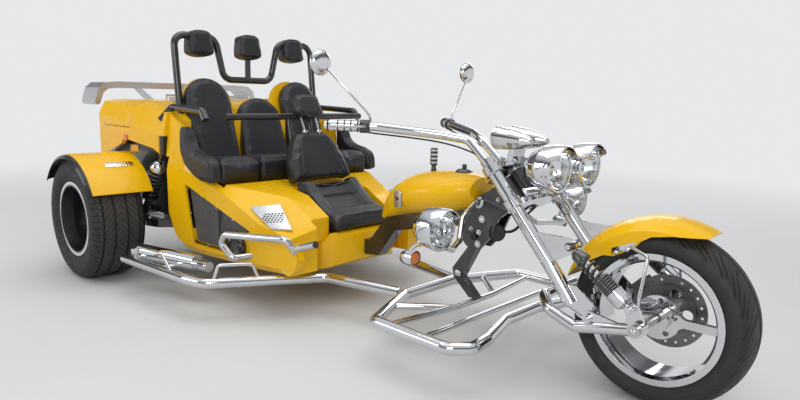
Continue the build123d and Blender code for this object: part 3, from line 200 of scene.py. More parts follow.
# The stand: a pale studio floor that runs out to a pale horizon, a large soft light overhead and three
# around. The room is darker above the horizon, so that bright metal has something to mirror.
floor_finish, floor_shader, wire = finish("floor", Roughness=0.75)
wire_to(floor_shader, Base_Color=wire.blend(wire.noise(1.4, 4.0), (0.64, 0.64, 0.63), (0.69, 0.69, 0.68)),
        Normal=wire.bump(wire.noise(60.0), 0.0006, 0.3))
spot = wire.place()
reach = spot.node("ShaderNodeVectorMath", {"operation": "LENGTH"}, {0: spot}, 1)
kinds = ("Is Camera Ray", "Is Glossy Ray", "Is Transmission Ray")
rays = [wire.node("ShaderNodeLightPath", output=kind) for kind in kinds]
seen = (rays[0] + rays[1] + rays[2]).do("MINIMUM", 1.0)
pale = wire.node("ShaderNodeEmission", inputs={"Color": (0.80, 0.81, 0.82, 1), "Strength": 1.0})
fade = wire.node("ShaderNodeMixShader", inputs={0: reach.between(2.0, 8.0) * seen})
links = floor_finish.node_tree.links
links.new(floor_shader.outputs[0], fade.socket.node.inputs[1])
links.new(pale.socket, fade.socket.node.inputs[2])
links.new(fade.socket, floor_finish.node_tree.nodes["Material Output"].inputs[0])
bm = bmesh.new()
bmesh.ops.create_grid(bm, x_segments=8, y_segments=8, size=30)
mesh = bpy.data.meshes.new("floor")
bm.to_mesh(mesh)
bm.free()
mesh.materials.append(floor_finish)
floor = bpy.data.objects.new("floor", mesh)
bpy.context.scene.collection.objects.link(floor)

room = bpy.data.worlds.new("room")
room.use_nodes = True
bpy.context.scene.world = room
wire = Wire(room.node_tree)
height = wire.node("ShaderNodeTexCoord", output=0).part("Z")
sky = wire.node("ShaderNodeValToRGB", {"stops": [
    (0.0, (0.80, 0.81, 0.82)), (0.17, (0.80, 0.81, 0.82)), (0.25, (0.16, 0.165, 0.17)),
    (0.46, (0.13, 0.135, 0.14)), (0.66, (0.70, 0.72, 0.75)), (1.0, (0.86, 0.88, 0.91)),
]}, {0: height})
room.node_tree.nodes["Background"].inputs[1].default_value = 1.0
room.node_tree.links.new(sky.socket, room.node_tree.nodes["Background"].inputs[0])

# Each lamp: place, aim, width, depth, watts.
for name, place, aim, width, depth, watts in (
    ("lamp_above", (0.2, -0.2, 4.6), (0.1, 0, 0), 5.0, 3.2, 78),
    ("lamp_front", (3.6, -4.6, 2.8), (0.3, 0, 0.5), 2.6, 1.8, 82),
    ("lamp_side", (-3.2, -4.4, 2.4), (-0.6, 0, 0.5), 2.4, 1.6, 42),
    ("lamp_back", (-1.5, 5.0, 3.0), (0, 0, 0.6), 3.0, 1.6, 45),
):
    light = bpy.data.lights.new(name, "AREA")
    light.shape = "RECTANGLE"
    light.size, light.size_y, light.energy = width, depth, watts
    holder = bpy.data.objects.new(name, light)
    turned = (Vector(place) - Vector(aim)).to_track_quat("Z", "Y")
    holder.matrix_world = Matrix.Translation(place) @ turned.to_matrix().to_4x4()
    bpy.context.scene.collection.objects.link(holder)


# Paint: solid orange-yellow lacquer on the body's glass fibre and the steel mudguards, sprayed and polished
# under a clear coat, with a faint ripple and a little road dust low down.
paint, paint_shader, wire = finish("yellow_paint", Coat_Weight=0.28, Coat_Roughness=0.05,
                                   Specular_IOR_Level=0.2)
low_dust = wire.place().part("Z").between(0.16, 0.42, 0.12, 0.0) * wire.noise(7.0, 5.0)
body_colour = wire.blend(wire.noise(2.2), (0.875, 0.490, 0.001), (0.900, 0.510, 0.002))
wire_to(
    paint_shader,
    Base_Color=wire.blend(low_dust, body_colour, (0.42, 0.34, 0.20)),
    Roughness=wire.noise(26.0, 4.0).between(0.35, 0.75, 0.26, 0.32),
    Normal=wire.bump(wire.noise(9.0), 0.0003, 0.12),
)

# Bright plating on steel tube and castings: nickel and chromium over a polished base, deep in tone, hazed a
# little where hands and dust reach it.
chrome, chrome_shader, wire = finish("chrome", Metallic=1.0)
wire_to(
    chrome_shader,
    Base_Color=wire.blend(wire.noise(4.0, 4.0).between(0.45, 0.75), (0.68, 0.69, 0.71), (0.56, 0.56, 0.56)),
    Roughness=wire.noise(18.0, 5.0).between(0.45, 0.8, 0.05, 0.16),
    Normal=wire.bump(wire.noise(30.0), 0.0002, 0.2),
)

# Brushed steel for the shafts, the axle, the hinges and other bare fixings: turned or drawn stock, left
# unplated, with fine lines that run one way.
steel, steel_shader, wire = finish("brushed_steel", Metallic=1.0)
stretched = wire.node("ShaderNodeMapping", inputs={"Vector": wire.place(), "Scale": (8, 8, 90)})
wire_to(
    steel_shader,
    Base_Color=wire.blend(wire.noise(6.0, 6.0), (0.46, 0.46, 0.47), (0.60, 0.60, 0.60)),
    Roughness=wire.noise(3.0, 5.0, 0.6, stretched).between(0.3, 0.7, 0.26, 0.42),
    Normal=wire.bump(wire.noise(5.0, 4.0, 0.6, stretched), 0.0003, 0.35),
)

# Gloss black enamel on the welded steel of the roll bar, rests and frame: powder coat, baked on, with patches
# of settled dust.
black, black_shader, wire = finish("black_enamel", Coat_Weight=0.7, Coat_Roughness=0.08)
wire_to(
    black_shader,
    Base_Color=wire.blend(wire.noise(11.0, 5.0).between(0.5, 0.8), (0.012, 0.012, 0.013),
                          (0.045, 0.043, 0.040)),
    Roughness=wire.noise(15.0, 4.0).between(0.3, 0.8, 0.24, 0.45),
    Normal=wire.bump(wire.noise(80.0), 0.0003, 0.25),
)

# Cast iron and sand-cast aluminium of the engine and the caliper: poured in sand, left raw, so they are
# grey, grainy and stained.
iron, iron_shader, wire = finish("casting", Metallic=0.55)
wire_to(
    iron_shader,
    Base_Color=wire.blend(wire.noise(9.0, 6.0), (0.06, 0.06, 0.062), (0.20, 0.19, 0.18)),
    Roughness=wire.mottle(22.0, 0.45, 0.7, 4.0),
    Normal=wire.bump(wire.noise(260.0, 3.0), 0.001, 0.5),
)

# Silver lacquer on the wing and the switch plates: fine metal flake under clear coat, sprayed over a
# moulded core.
silver, silver_shader, wire = finish("silver_lacquer", Metallic=0.75, Coat_Weight=0.9, Coat_Roughness=0.06)
wire_to(
    silver_shader,
    Base_Color=wire.blend(wire.noise(900.0, 1.0), (0.48, 0.49, 0.52), (0.60, 0.61, 0.64)),
    Roughness=wire.mottle(12.0, 0.26, 0.36),
)

# Moulded black rubber for grips, rings and hoses: pressed in hot moulds, matt, greyed where hands and dust
# scrub it.
rubber, rubber_shader, wire = finish("moulded_rubber")
wire_to(
    rubber_shader,
    Base_Color=wire.blend(wire.noise(14.0, 4.0), (0.014, 0.014, 0.014), (0.032, 0.031, 0.030)),
    Roughness=wire.mottle(30.0, 0.62, 0.82),
    Normal=wire.bump(wire.noise(350.0), 0.0005, 0.4),
)


def coat(made, *names):
    """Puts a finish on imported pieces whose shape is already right."""
    for name in names:
        for holder in nodes[name].material_slots:
            holder.material = made


coat(chrome, "fork", "front_link", "front_rim", "front_shocks", "fender_stays", "handlebar", "mirrors",
     "headlamps", "clocks", "floor_frame", "side_rails", "silencers", "step_hoops", "luggage_rack",
     "tank_fittings", "side_lamps")
coat(steel, "front_axle", "front_disc", "lid_hinges", "drive_shafts")
# The inner arches are near-black sheets in the wheelhouses that stand in as painted shade.
coat(black, "steering_head", "backbone", "roll_bar", "armrests", "grab_bar", "rear_frame", "rear_arms",
     "rear_shocks", "inner_arches")
coat(iron, "front_caliper", "engine")
coat(silver, "spoiler")
coat(rubber, "grips")


# Rear wheels: wide rims cast in dark gunmetal with a polished outer lip, dished so deep that the hub lies
# in shade. The tyre hides the bead, and the rim is bolted to the hub through its dish.
rear_wheel_y, rear_axle_z = 0.783, 0.332
rim_finish, rim_shader, wire = finish("gunmetal_rim", Metallic=0.9, Coat_Weight=0.3, Coat_Roughness=0.1)
along, height, radius = wire.around(rear_x, rear_axle_z)
lip = radius.between(0.188, 0.192)
dish = wire.blend(wire.noise(12.0, 5.0), (0.05, 0.052, 0.055), (0.12, 0.122, 0.128))
wire_to(rim_shader, Base_Color=wire.blend(lip, dish, (0.74, 0.75, 0.77)), Roughness=(1 - lip) * 0.26 + 0.09)
coat(rim_finish, "rear_rim_right", "rear_rim_left")


def piece(name, shape, body, made):
    """Turns a bmesh into a named piece that rides on a body; its place is in its mesh."""
    new_mesh = bpy.data.meshes.new(name)
    shape.to_mesh(new_mesh)
    shape.free()
    new_mesh.materials.append(made)
    new_mesh.shade_smooth()
    new_mesh.set_sharp_from_angle(angle=math.radians(38))
    new = bpy.data.objects.new(name, new_mesh)
    bpy.context.scene.collection.objects.link(new)
    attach(new, body)
    return new


def spun(points, centre, axis, steps=96, shape=None):
    """Turns an outline round an axis; a point is its distance along the axis and its radius, in mm."""
    shape = shape or bmesh.new()
    centre, axis = Vector(centre), Vector(axis).normalized()
    outward = axis.orthogonal().normalized()
    places = [centre + axis * (along / 1000) + outward * (radius / 1000) for along, radius in points]
    made = [shape.verts.new(place) for place in places]
    edges = [shape.edges.new(pair) for pair in zip(made, made[1:])]
    bmesh.ops.spin(shape, geom=made + edges, cent=centre, axis=axis, angle=math.tau, steps=steps,
                   use_merge=True)
    bmesh.ops.remove_doubles(shape, verts=shape.verts, dist=0.00002)
    bmesh.ops.recalc_face_normals(shape, faces=shape.faces)
    return shape


# Rear tyres: wide, nearly square road tyres. Four rain grooves run round the tread; slanted sipes are cut
# between them and the shoulders carry short blocks. The walls are bare but for their moulded ribs.
rear_tread, rear_tread_shader, wire = finish("rear_tyre_rubber")
along, height, radius = wire.around(rear_x, rear_axle_z)
angle = height.do("ARCTAN2", along)
off = (wire.place().part("Y").size() - rear_wheel_y).size()
sipes = 60
slant = (angle * sipes / math.tau + off * 34).cycle()
sipe = slant.band(0.0, 0.05, 0.13, 0.18) * radius.between(0.318, 0.321)
blocks = (angle * sipes / math.tau + 0.3).cycle()
cuts = blocks.band(0.0, 0.05, 0.22, 0.27) * off.between(0.104, 0.108) * radius.between(0.292, 0.298)
ribs = (radius * 150).cycle().between(0.2, 0.5) * radius.band(0.222, 0.226, 0.262, 0.266)
# The sipes and block cuts exist only in the shading: a bump, and a near-black colour in them that is painted
# shade.
cut_depth_and_shade = (sipe + cuts).do("MINIMUM", 1.0)
scrub = radius.between(0.322, 0.331)
wall = wire.blend(wire.noise(16.0, 4.0), (0.016, 0.016, 0.016), (0.030, 0.029, 0.028))
worn = wire.blend(wire.noise(24.0, 5.0), (0.034, 0.033, 0.032), (0.058, 0.056, 0.053))
wire_to(
    rear_tread_shader,
    Base_Color=wire.blend(cut_depth_and_shade, wire.blend(scrub, wall, worn), (0.006, 0.006, 0.006)),
    Roughness=wire.mottle(40.0, 0.58, 0.80, 4.0),
    Normal=wire.bump(ribs * 0.25 - cut_depth_and_shade, 0.006, 0.9),
)
groove = [(106, 330.5), (101, 331.5), (99.5, 323), (90.5, 323), (89, 332), (40, 332), (38.5, 323.5),
          (29.5, 323.5), (28, 332), (0, 332)]
half_tread = [(112.5, 190.6), (112.5, 206), (122, 210), (134.5, 225), (140.5, 246), (141.8, 270),
              (140, 291), (134.5, 307), (126, 319), (116, 326.5)] + groove
sides = ((-1, "right"), (1, "left"))
for side, side_name in sides:
    outline = half_tread + [(-along, radius) for along, radius in reversed(half_tread[:-1])]
    outline.append(outline[0])
    shape = spun(outline, (rear_x, side * rear_wheel_y, rear_axle_z), (0, 1, 0), 128)
    tyre = piece("road_tyre_" + side_name, shape, "rear_wheel_" + side_name, rear_tread)
    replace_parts(tyre, "rear_tyre_" + side_name)

# Hub caps and wheel bolts: a turned dome in the hub's mouth and five plated nuts round it, which clamp the
# rim to the hub carrier behind.
bolt_circle = 0.052
for side, side_name in sides:
    shape = spun([(34, 0), (33, 16), (29, 28), (20, 34), (34.5, 36), (34.5, 46)],
                 (rear_x, side * rear_wheel_y, rear_axle_z), (0, side, 0), 40)
    for turn in range(5):
        spoke = math.radians(72 * turn + 20)
        ahead, rise = bolt_circle * math.cos(spoke), bolt_circle * math.sin(spoke)
        nut_at = Matrix.Translation((rear_x + ahead, side * 0.822, rear_axle_z + rise))
        outward = Matrix.Rotation(math.radians(-90 * side), 4, "X")
        bmesh.ops.create_cone(shape, cap_ends=True, segments=6, radius1=0.0085, radius2=0.0075, depth=0.018,
                              matrix=nut_at @ outward)
    piece("wheel_nuts_" + side_name, shape, "rear_wheel_" + side_name, chrome)

# Front tyre: a round road tyre on the cast rim, moulded with a centre groove and with sipes that sweep back
# from it on both sides. Its crown is scrubbed a little grey.
front_x, front_axle_z = 1.604, 0.313
front_tread, front_tread_shader, wire = finish("front_tyre_rubber")
along, height, radius = wire.around(front_x, front_axle_z)
off = wire.place().part("Y").size()
angle = height.do("ARCTAN2", along)
sweep = angle * 26 / math.tau + off * off * 260 - off * 5
slant = sweep.cycle()
sipe = slant.band(0.0, 0.06, 0.15, 0.22) * off.band(0.016, 0.020, 0.071, 0.078)
short = (sweep + 0.5).cycle()
nick = short.band(0.0, 0.05, 0.13, 0.19) * off.band(0.050, 0.053, 0.080, 0.084)
# The sipes and nicks exist only in the shading: a bump, and a near-black colour in them that is painted
# shade.
cut_depth_and_shade = sipe.do("MAXIMUM", nick) * radius.between(0.278, 0.284)
ribs = (radius * 170).cycle().between(0.2, 0.5) * radius.band(0.238, 0.241, 0.252, 0.255)
scrub = radius.between(0.288, 0.310)
wall = wire.blend(wire.noise(16.0, 4.0), (0.014, 0.014, 0.014), (0.026, 0.026, 0.025))
worn = wire.blend(wire.noise(24.0, 5.0), (0.028, 0.027, 0.026), (0.046, 0.045, 0.043))
wire_to(
    front_tread_shader,
    Base_Color=wire.blend(cut_depth_and_shade, wire.blend(scrub, wall, worn), (0.005, 0.005, 0.005)),
    Roughness=wire.mottle(40.0, 0.50, 0.72, 4.0),
    Normal=wire.bump(ribs * 0.2 - cut_depth_and_shade, 0.005, 0.9),
)
half_tread = [(66.8, 214.5), (66.8, 229), (74, 233), (84, 243), (89.5, 256), (89.8, 268), (86.5, 279),
              (80, 289), (70.5, 296.5), (60, 302.2), (49, 306.4), (36, 309.8), (22.5, 311.9), (8, 312.9),
              (6.8, 307.5), (0, 307.5)]
outline = half_tread + [(-along, radius) for along, radius in reversed(half_tread[:-1])]
outline.append(outline[0])
shape = spun(outline, (front_x, 0, front_axle_z), (0, 1, 0), 144)
tyre = piece("front_road_tyre", shape, "front_wheel", front_tread)
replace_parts(tyre, "front_tyre")


# Body: tub, nose, tail, lid and tank come out of glass-fibre moulds and the mudguards are pressed, so every
# outer edge is rounded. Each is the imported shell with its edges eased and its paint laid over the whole;
# the hoops, the wing and the front rim are eased in the same way.
def merged(name):
    """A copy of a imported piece's mesh, with its loose triangles joined up."""
    shape = bmesh.new()
    shape.from_mesh(nodes[name].data)
    bmesh.ops.remove_doubles(shape, verts=shape.verts, dist=0.00001)
    return shape


def eased(name, new_name, made, width, segments=3, angle=28):
    """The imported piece's own surface with its edges rounded; it stands for that piece."""
    shape = merged(name)
    bmesh.ops.dissolve_limit(shape, angle_limit=math.radians(1.2), verts=shape.verts, edges=shape.edges)
    new = piece(new_name, shape, nodes[name]["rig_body"], made)
    edge = new.modifiers.new("eased_edges", "BEVEL")
    edge.width, edge.segments = width, segments
    edge.limit_method, edge.angle_limit = "ANGLE", math.radians(angle)
    edge.use_clamp_overlap = True
    level = new.modifiers.new("even_shading", "WEIGHTED_NORMAL")
    level.keep_sharp = False
    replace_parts(new, name)
    return new


def with_painted_shade(name, painted_shade_part):
    """The body paint, turned near black as painted shade where the given mask of the place is high."""
    made = paint.copy()
    made.name = name
    shader = made.node_tree.nodes["Principled BSDF"]
    wire = Wire(made.node_tree, shader.inputs["Base Color"].links[0].from_socket)
    wire_to(shader, Base_Color=wire.blend(painted_shade_part(wire.place()), wire, (0.012, 0.012, 0.012)))
    return made


# Painted shade: the tail's faces inside the wheelhouse turn near black.
def in_wheelhouse(place):
    inside = place.part("Y").size().under(0.574, 0.577) * place.part("Z").under(0.800, 0.804)
    return inside * (place.part("X") > rear_x - 0.345)


# Painted shade: the mudguards' undersides turn near black.
def under_guard(place):
    return place.around(rear_x, rear_axle_z)[2].under(0.354, 0.3565)


tail_shaded_lacquer = with_painted_shade("tail_shaded_lacquer", in_wheelhouse)
shaded_guard_finish = with_painted_shade("mudguard_shaded_lacquer", under_guard)
for name, new_name, made, width in (
    ("tub", "seat_tub", paint, 0.010),
    ("nose", "nose_panel", paint, 0.020),
    ("tail", "tail_body", tail_shaded_lacquer, 0.005),
    ("boot_lid", "lid_panel", paint, 0.010),
    ("bench_shell", "seat_back_shell", paint, 0.008),
    ("rear_fenders", "rear_mudguards", shaded_guard_finish, 0.0015),
    ("front_fender", "front_mudguard", paint, 0.0015),
    ("tank", "fuel_tank", paint, 0.001),
):
    eased(name, new_name, made, width)
eased("spoiler", "wing", silver, 0.010)
eased("step_hoops", "step_tubes", chrome, 0.002)
eased("front_rim", "cast_front_rim", chrome, 0.006, 3, 24)


# Upholstery: black vinyl over foam on boards. Each pad is blown up a little from its board's shape, so its
# faces crown between its edges; the seams and sewn channels are pressed in after that.
vinyl, vinyl_shader, wire = finish("black_vinyl", Coat_Weight=0.12, Coat_Roughness=0.35)
grain = wire.node("ShaderNodeTexVoronoi", inputs={"Vector": wire.place(), "Scale": 520.0})
wire_to(
    vinyl_shader,
    Base_Color=wire.blend(wire.noise(7.0, 4.0).between(0.3, 0.7), (0.010, 0.010, 0.012),
                          (0.019, 0.019, 0.023)),
    Roughness=wire.mottle(9.0, 0.40, 0.52, 3.0),
    Normal=wire.bump(grain * 0.6 + wire.noise(46.0, 3.0) * 0.5, 0.0008, 0.45),
)


def at(x, y, z):
    """A place in millimetres: ahead of the rear axle, to the rider's left, above the ground."""
    return Vector((rear_x + x / 1000, y / 1000, z / 1000))


def drawn(outline, origin, sideways, upward, shape):
    """A face from an outline in millimetres on a plane."""
    places = [origin + sideways * (u / 1000) + upward * (v / 1000) for u, v in outline]
    return shape.faces.new([shape.verts.new(place) for place in places])


def prism(outline, origin, sideways, upward, depth, rounding=0.0, segments=3, shape=None):
    """An outline in millimetres drawn on a plane, pulled out behind it, with its edges rounded."""
    shape = shape or bmesh.new()
    sideways, upward = Vector(sideways).normalized(), Vector(upward).normalized()
    face = drawn(outline, origin, sideways, upward, shape)
    pulled = bmesh.ops.extrude_face_region(shape, geom=[face])
    grown = [item for item in pulled["geom"] if isinstance(item, bmesh.types.BMVert)]
    bmesh.ops.translate(shape, verts=grown, vec=sideways.cross(upward) * (-depth / 1000))
    mine = set(face.verts) | set(grown)
    bmesh.ops.recalc_face_normals(shape, faces=[side for side in shape.faces if set(side.verts) <= mine])
    if rounding:
        edges = [edge for edge in shape.edges if set(edge.verts) <= mine]
        bmesh.ops.bevel(shape, geom=edges, offset=rounding / 1000, segments=segments, affect="EDGES",
                        profile=0.5, material=-1, clamp_overlap=True)
    return shape


def arched(centre, half_low, half_mid, mid, top, steps=14):
    """A seat back's outline: straight sides, round top."""
    rise = top - mid
    reach = (half_mid ** 2 + rise ** 2) / (2 * rise)
    start = math.asin(min(1.0, half_mid / reach))
    if rise >= reach:
        start = math.pi - start
    turns = [start - 2 * start * step / steps for step in range(steps + 1)]
    arc = [(centre + reach * math.sin(turn), top - reach + reach * math.cos(turn)) for turn in turns]
    return [(centre - half_low, 0), (centre + half_low, 0)] + arc


def softened(outline, cuts=2):
    """Cuts an outline's corners over and over, which rounds them."""
    for _ in range(cuts):
        outline = [(a * keep + c * (1 - keep), b * keep + d * (1 - keep))
                   for (a, b), (c, d) in zip(outline, outline[1:] + outline[:1]) for keep in (0.78, 0.22)]
    return outline


def edge_distance(outline, u, v):
    """How far a point lies from an outline's edge."""
    nearest = 1e9
    for (a, b), (c, d) in zip(outline, outline[1:] + outline[:1]):
        run = max(1e-9, (c - a) ** 2 + (d - b) ** 2)
        along = max(0.0, min(1.0, ((u - a) * (c - a) + (v - b) * (d - b)) / run))
        nearest = min(nearest, math.hypot(u - a - along * (c - a), v - b - along * (d - b)))
    return nearest


def bell(distance, middle, width):
    """A smooth ridge: 1 at its middle, fading over its width."""
    return math.exp(-((distance - middle) / width) ** 2)


pads = []
swell_steps = 20


def pad(name, shape, replaced, press, voxel=0.008, cap=0.010):
    """Remeshes a pad's plain shape and queues it for the blow-up; press is how deep each spot is drawn in."""
    new = piece(name, shape, "chassis", vinyl)
    remesh = new.modifiers.new("even_mesh", "REMESH")
    remesh.mode, remesh.voxel_size = "VOXEL", voxel
    even = bpy.data.meshes.new_from_object(new.evaluated_get(bpy.context.evaluated_depsgraph_get()))
    new.modifiers.remove(remesh)
    inward = [vertex.co - vertex.normal * 0.004 for vertex in even.vertices]
    for vertex, spot in zip(even.vertices, inward):
        vertex.co = spot
    new.data = even
    cloth = new.modifiers.new("swell", "CLOTH")
    cloth.settings.use_pressure = True
    cloth.settings.uniform_pressure_force = 4
    cloth.settings.quality = 4
    cloth.settings.effector_weights.gravity = 0
    cloth.point_cache.frame_start, cloth.point_cache.frame_end = 1, swell_steps
    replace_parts(new, *replaced)
    pads.append((new, press, cap))
    return new


# Bench cushions: three blocks of foam with crowned tops and upright fronts, covered in vinyl, with a welt
# along their front top edge. They drop into the well of the tub.
cushion_side = [(560, 578), (848, 578), (866, 612), (864, 690), (838, 712), (700, 704), (560, 690)]
for name, low, high in (
    ("bench_cushion_right", -504, -269),
    ("bench_cushion_middle", -265, 265),
    ("bench_cushion_left", 269, 504),
):
    middle, half = (low + high) / 2, (high - low) / 2

    def press(spot, normal, middle=middle, half=half):
        side = half - abs(spot[1] - middle)
        welt = 2.6 * bell(spot[0], 836, 5) * (spot[2] > 660)
        side_welt = 2.2 * bell(side, 13, 5) * (normal.z > 0.3 or normal.x > 0.3)
        crown = 7.0 * (1 - min(1.0, side / 70)) ** 2 * (normal.z > 0.5)
        return welt + side_welt + crown

    shape = prism(cushion_side, at(0, low, 0), (1, 0, 0), (0, 0, 1), high - low, 18)
    pad(name, shape, ("bench_cushions",), press)

# Side bolsters: boards that sweep up from the cushions to the armrests, padded on both faces and covered in
# vinyl with a piped edge. They are screwed to the tub's flanks.
bolster_side = softened([(556, 690), (538, 862), (596, 866), (634, 826), (664, 782), (706, 756), (790, 738),
                         (858, 706), (880, 660), (878, 578), (700, 592)], 1)
for side, side_name in sides:
    def press(spot, normal, side=side):
        rim = edge_distance(bolster_side, spot[0], spot[2])
        seam = 3.2 * bell(rim, 15, 5) * (abs(normal.y) > 0.5)
        return seam - 2.0 * bell(rim, 40, 30) * (abs(normal.y) > 0.6)

    shape = prism(bolster_side, at(0, min(side * 566, side * 507), 0), (1, 0, 0), (0, 0, 1), 59, 17, 4)
    pad("side_bolster_" + side_name, shape, ("bench_cushions",), press, 0.007)

# Bench backs: two tall outer ones and a low middle one, foam on boards under vinyl with a seam inside the
# rim, leaning back on the yellow shell that carries them.
back_lean = math.radians(18)
back_up = Vector((-math.sin(back_lean), 0, math.cos(back_lean)))
back_out = Vector((math.cos(back_lean), 0, math.sin(back_lean)))
back_origin = at(540, 0, 690) - back_up * 0.06
for name, centre, half_low, half_mid, mid, top in (
    ("bench_back_right", -314, 141, 146, 372, 524),
    ("bench_back_middle", 0, 170, 142, 330, 414),
    ("bench_back_left", 314, 141, 146, 372, 524),
):
    outline = arched(centre, half_low, half_mid, mid, top)

    def press(spot, normal, outline=outline):
        offset = at(*spot) - back_origin
        rim = edge_distance(outline, spot[1], offset.dot(back_up) * 1000)
        front = normal.dot(back_out)
        return 3.4 * bell(rim, 22, 4.5) * (front > 0.4) + 1.6 * bell(rim, 2, 5) * (abs(front) < 0.6)

    shape = prism(outline, back_origin + back_out * 0.012, (0, 1, 0), back_up, 71, 18)
    pad(name, shape, ("bench_backs",), press, 0.008)

# Headrests over the bench: trapezoid pads of moulded foam under vinyl, clamped round the roll bar's dips,
# rounder at the top and with one seam round each face.
rest_lean = math.radians(5)
rest_up = Vector((-math.sin(rest_lean), 0, math.cos(rest_lean)))
rest_outline = softened([(-80, -2), (80, -2), (76, 76), (62, 146), (-62, 146), (-76, 76)], 1)
for name, centre in (("headrest_right", -316), ("headrest_middle", 0), ("headrest_left", 316)):
    rest_origin = at(398, centre, 1236)

    def press(spot, normal, centre=centre, rest_origin=rest_origin):
        offset = at(*spot) - rest_origin
        rim = edge_distance(rest_outline, spot[1] - centre, offset.dot(rest_up) * 1000)
        return 2.4 * bell(rim, 14, 4) * (abs(normal.x) > 0.5)

    shape = prism(rest_outline, rest_origin, (0, 1, 0), rest_up, 96, 16, 3)
    pad(name, shape, ("headrests",), press, 0.006, 0.005)

# Rider's cushion: a deep bucket of foam under vinyl with raised, piped sides, a middle panel sewn across,
# and a roll under the knees. It is bolted to the nose and the tub's spine.
seat_side = [(1046, 604), (1080, 484), (1182, 360), (1242, 352), (1330, 388), (1384, 390), (1396, 414),
             (1384, 446), (1350, 462), (1300, 474), (1262, 490), (1175, 548), (1104, 612)]


def press(spot, normal):
    x, y, z = spot
    upper = z > 490 - 0.62 * (x - 1262) - 46
    panel = 1 - min(1.0, max(0.0, (abs(y) - 112) / 22))
    flank = bell(abs(y), 134, 6)
    behind_roll = 1 - min(1.0, max(0.0, (x - 1268) / 22))
    drop = upper * (26 * panel * behind_roll + 5 * flank * behind_roll)
    for channel, width, depth in ((1186, 6, 7), (1274, 9, 10)):
        drop += upper * panel * depth * bell(x, channel, width)
    outer = 3.0 * bell(abs(y), 188, 5) * upper
    return drop + outer + 2.2 * bell(abs(y), 134, 4) * (normal.x > 0.4) * (x > 1300)


shape = prism(seat_side, at(0, -203, 0), (1, 0, 0), (0, 0, 1), 406, 26, 4)
pad("rider_seat_cushion", shape, ("rider_cushion",), press, 0.007, 0.010)

# Rider's back: a rounded wedge of foam on a shell, wide at the foot, covered in vinyl with side seams and a
# plain front. It stands on the cushion's hinge line.
lean = math.radians(24.8)
rider_up = Vector((-math.sin(lean), 0, math.cos(lean)))
rider_out = Vector((math.cos(lean), 0, math.sin(lean)))
rider_origin = at(1064, 0, 616)
rider_outline = [(-203, -10), (203, -10), (200, 60), (192, 110), (168, 170), (136, 222), (112, 252),
                 (70, 268), (0, 274), (-70, 268), (-112, 252), (-136, 222), (-168, 170), (-192, 110),
                 (-200, 60)]


def press(spot, normal):
    offset = at(*spot) - rider_origin
    height = offset.dot(rider_up) * 1000
    front = normal.dot(rider_out) > 0.4
    seam = bell(abs(spot[1]), (152 - 0.22 * height), 5) * (height < 236)
    return 3.4 * seam * front + 5 * front * min(1.0, max(0.0, (abs(spot[1]) - 120) / 80))


shape = prism(rider_outline, rider_origin, (0, 1, 0), rider_up, 90, 24, 4)
pad("rider_seat_back", shape, ("rider_back",), press, 0.007, 0.008)

# Rider's headrest: a soft vinyl block on two plated stems that slide into the seat back, with a small
# chrome collar where each enters.
head_outline = softened([(-94, 330), (94, 330), (90, 410), (76, 464), (-76, 464), (-90, 410)], 2)


def press(spot, normal):
    offset = at(*spot) - rider_origin
    rim = edge_distance(head_outline, spot[1], offset.dot(rider_up) * 1000)
    return 2.2 * bell(rim, 14, 4) * (abs(normal.dot(rider_out)) > 0.5)


shape = prism(head_outline, rider_origin + rider_out * 0.030, (0, 1, 0), rider_up, 60, 22, 4)
pad("rider_head_pad", shape, ("rider_headrest",), press, 0.006, 0.007)
shape = bmesh.new()
for side in (-1, 1):
    foot = rider_origin - rider_out * 0.012 + rider_up * 0.236 + Vector((0, side * 0.048, 0))
    spun([(0, 6.5), (125, 6.5)], foot, rider_up, 20, shape)
    spun([(14, 6.6), (14, 14), (17, 16), (27, 16), (31, 11), (31, 6.6)], foot, rider_up, 24, shape)
piece("headrest_stems", shape, "chassis", chrome)

# The blow-up: all pads swell together, each spot moves no further than its cap, and the mesh is then made
# finer and the seams are drawn in.
for tick in range(1, swell_steps + 1):
    bpy.context.scene.frame_set(tick)
for new, press, cap in pads:
    start = [vertex.co.copy() for vertex in new.data.vertices]
    swollen = bpy.data.meshes.new_from_object(new.evaluated_get(bpy.context.evaluated_depsgraph_get()))
    new.modifiers.clear()
    for vertex, before in zip(swollen.vertices, start):
        moved = vertex.co - before
        if moved.length > cap:
            vertex.co = before + moved * (cap / moved.length)
    new.data = swollen
    finer = new.modifiers.new("finer", "SUBSURF")
    finer.levels = finer.render_levels = 1
    smooth = bpy.data.meshes.new_from_object(new.evaluated_get(bpy.context.evaluated_depsgraph_get()))
    new.modifiers.clear()
    pressed = []
    for vertex in smooth.vertices:
        spot = ((vertex.co.x - rear_x) * 1000, vertex.co.y * 1000, vertex.co.z * 1000)
        pressed.append(vertex.co - vertex.normal * (press(spot, vertex.normal) / 1000))
    for vertex, spot in zip(smooth.vertices, pressed):
        vertex.co = spot
    smooth.materials.clear()
    smooth.materials.append(vinyl)
    smooth.shade_smooth()
    smooth.name = new.name
    new.data = smooth
bpy.context.scene.frame_set(1)


# Front spring units: a chromed body with a turned cover, open black turns of wire round a bright rod, and a
# bushed eye at each end, bolted between the fork's studs and the link.
spring_black, spring_shader, wire = finish("spring_black", Coat_Weight=1.0, Coat_Roughness=0.12)
wire_to(spring_shader, Base_Color=wire.blend(wire.noise(24.0, 4.0), (0.018, 0.018, 0.019),
                                             (0.050, 0.050, 0.050)),
        Roughness=wire.mottle(20.0, 0.2, 0.35))


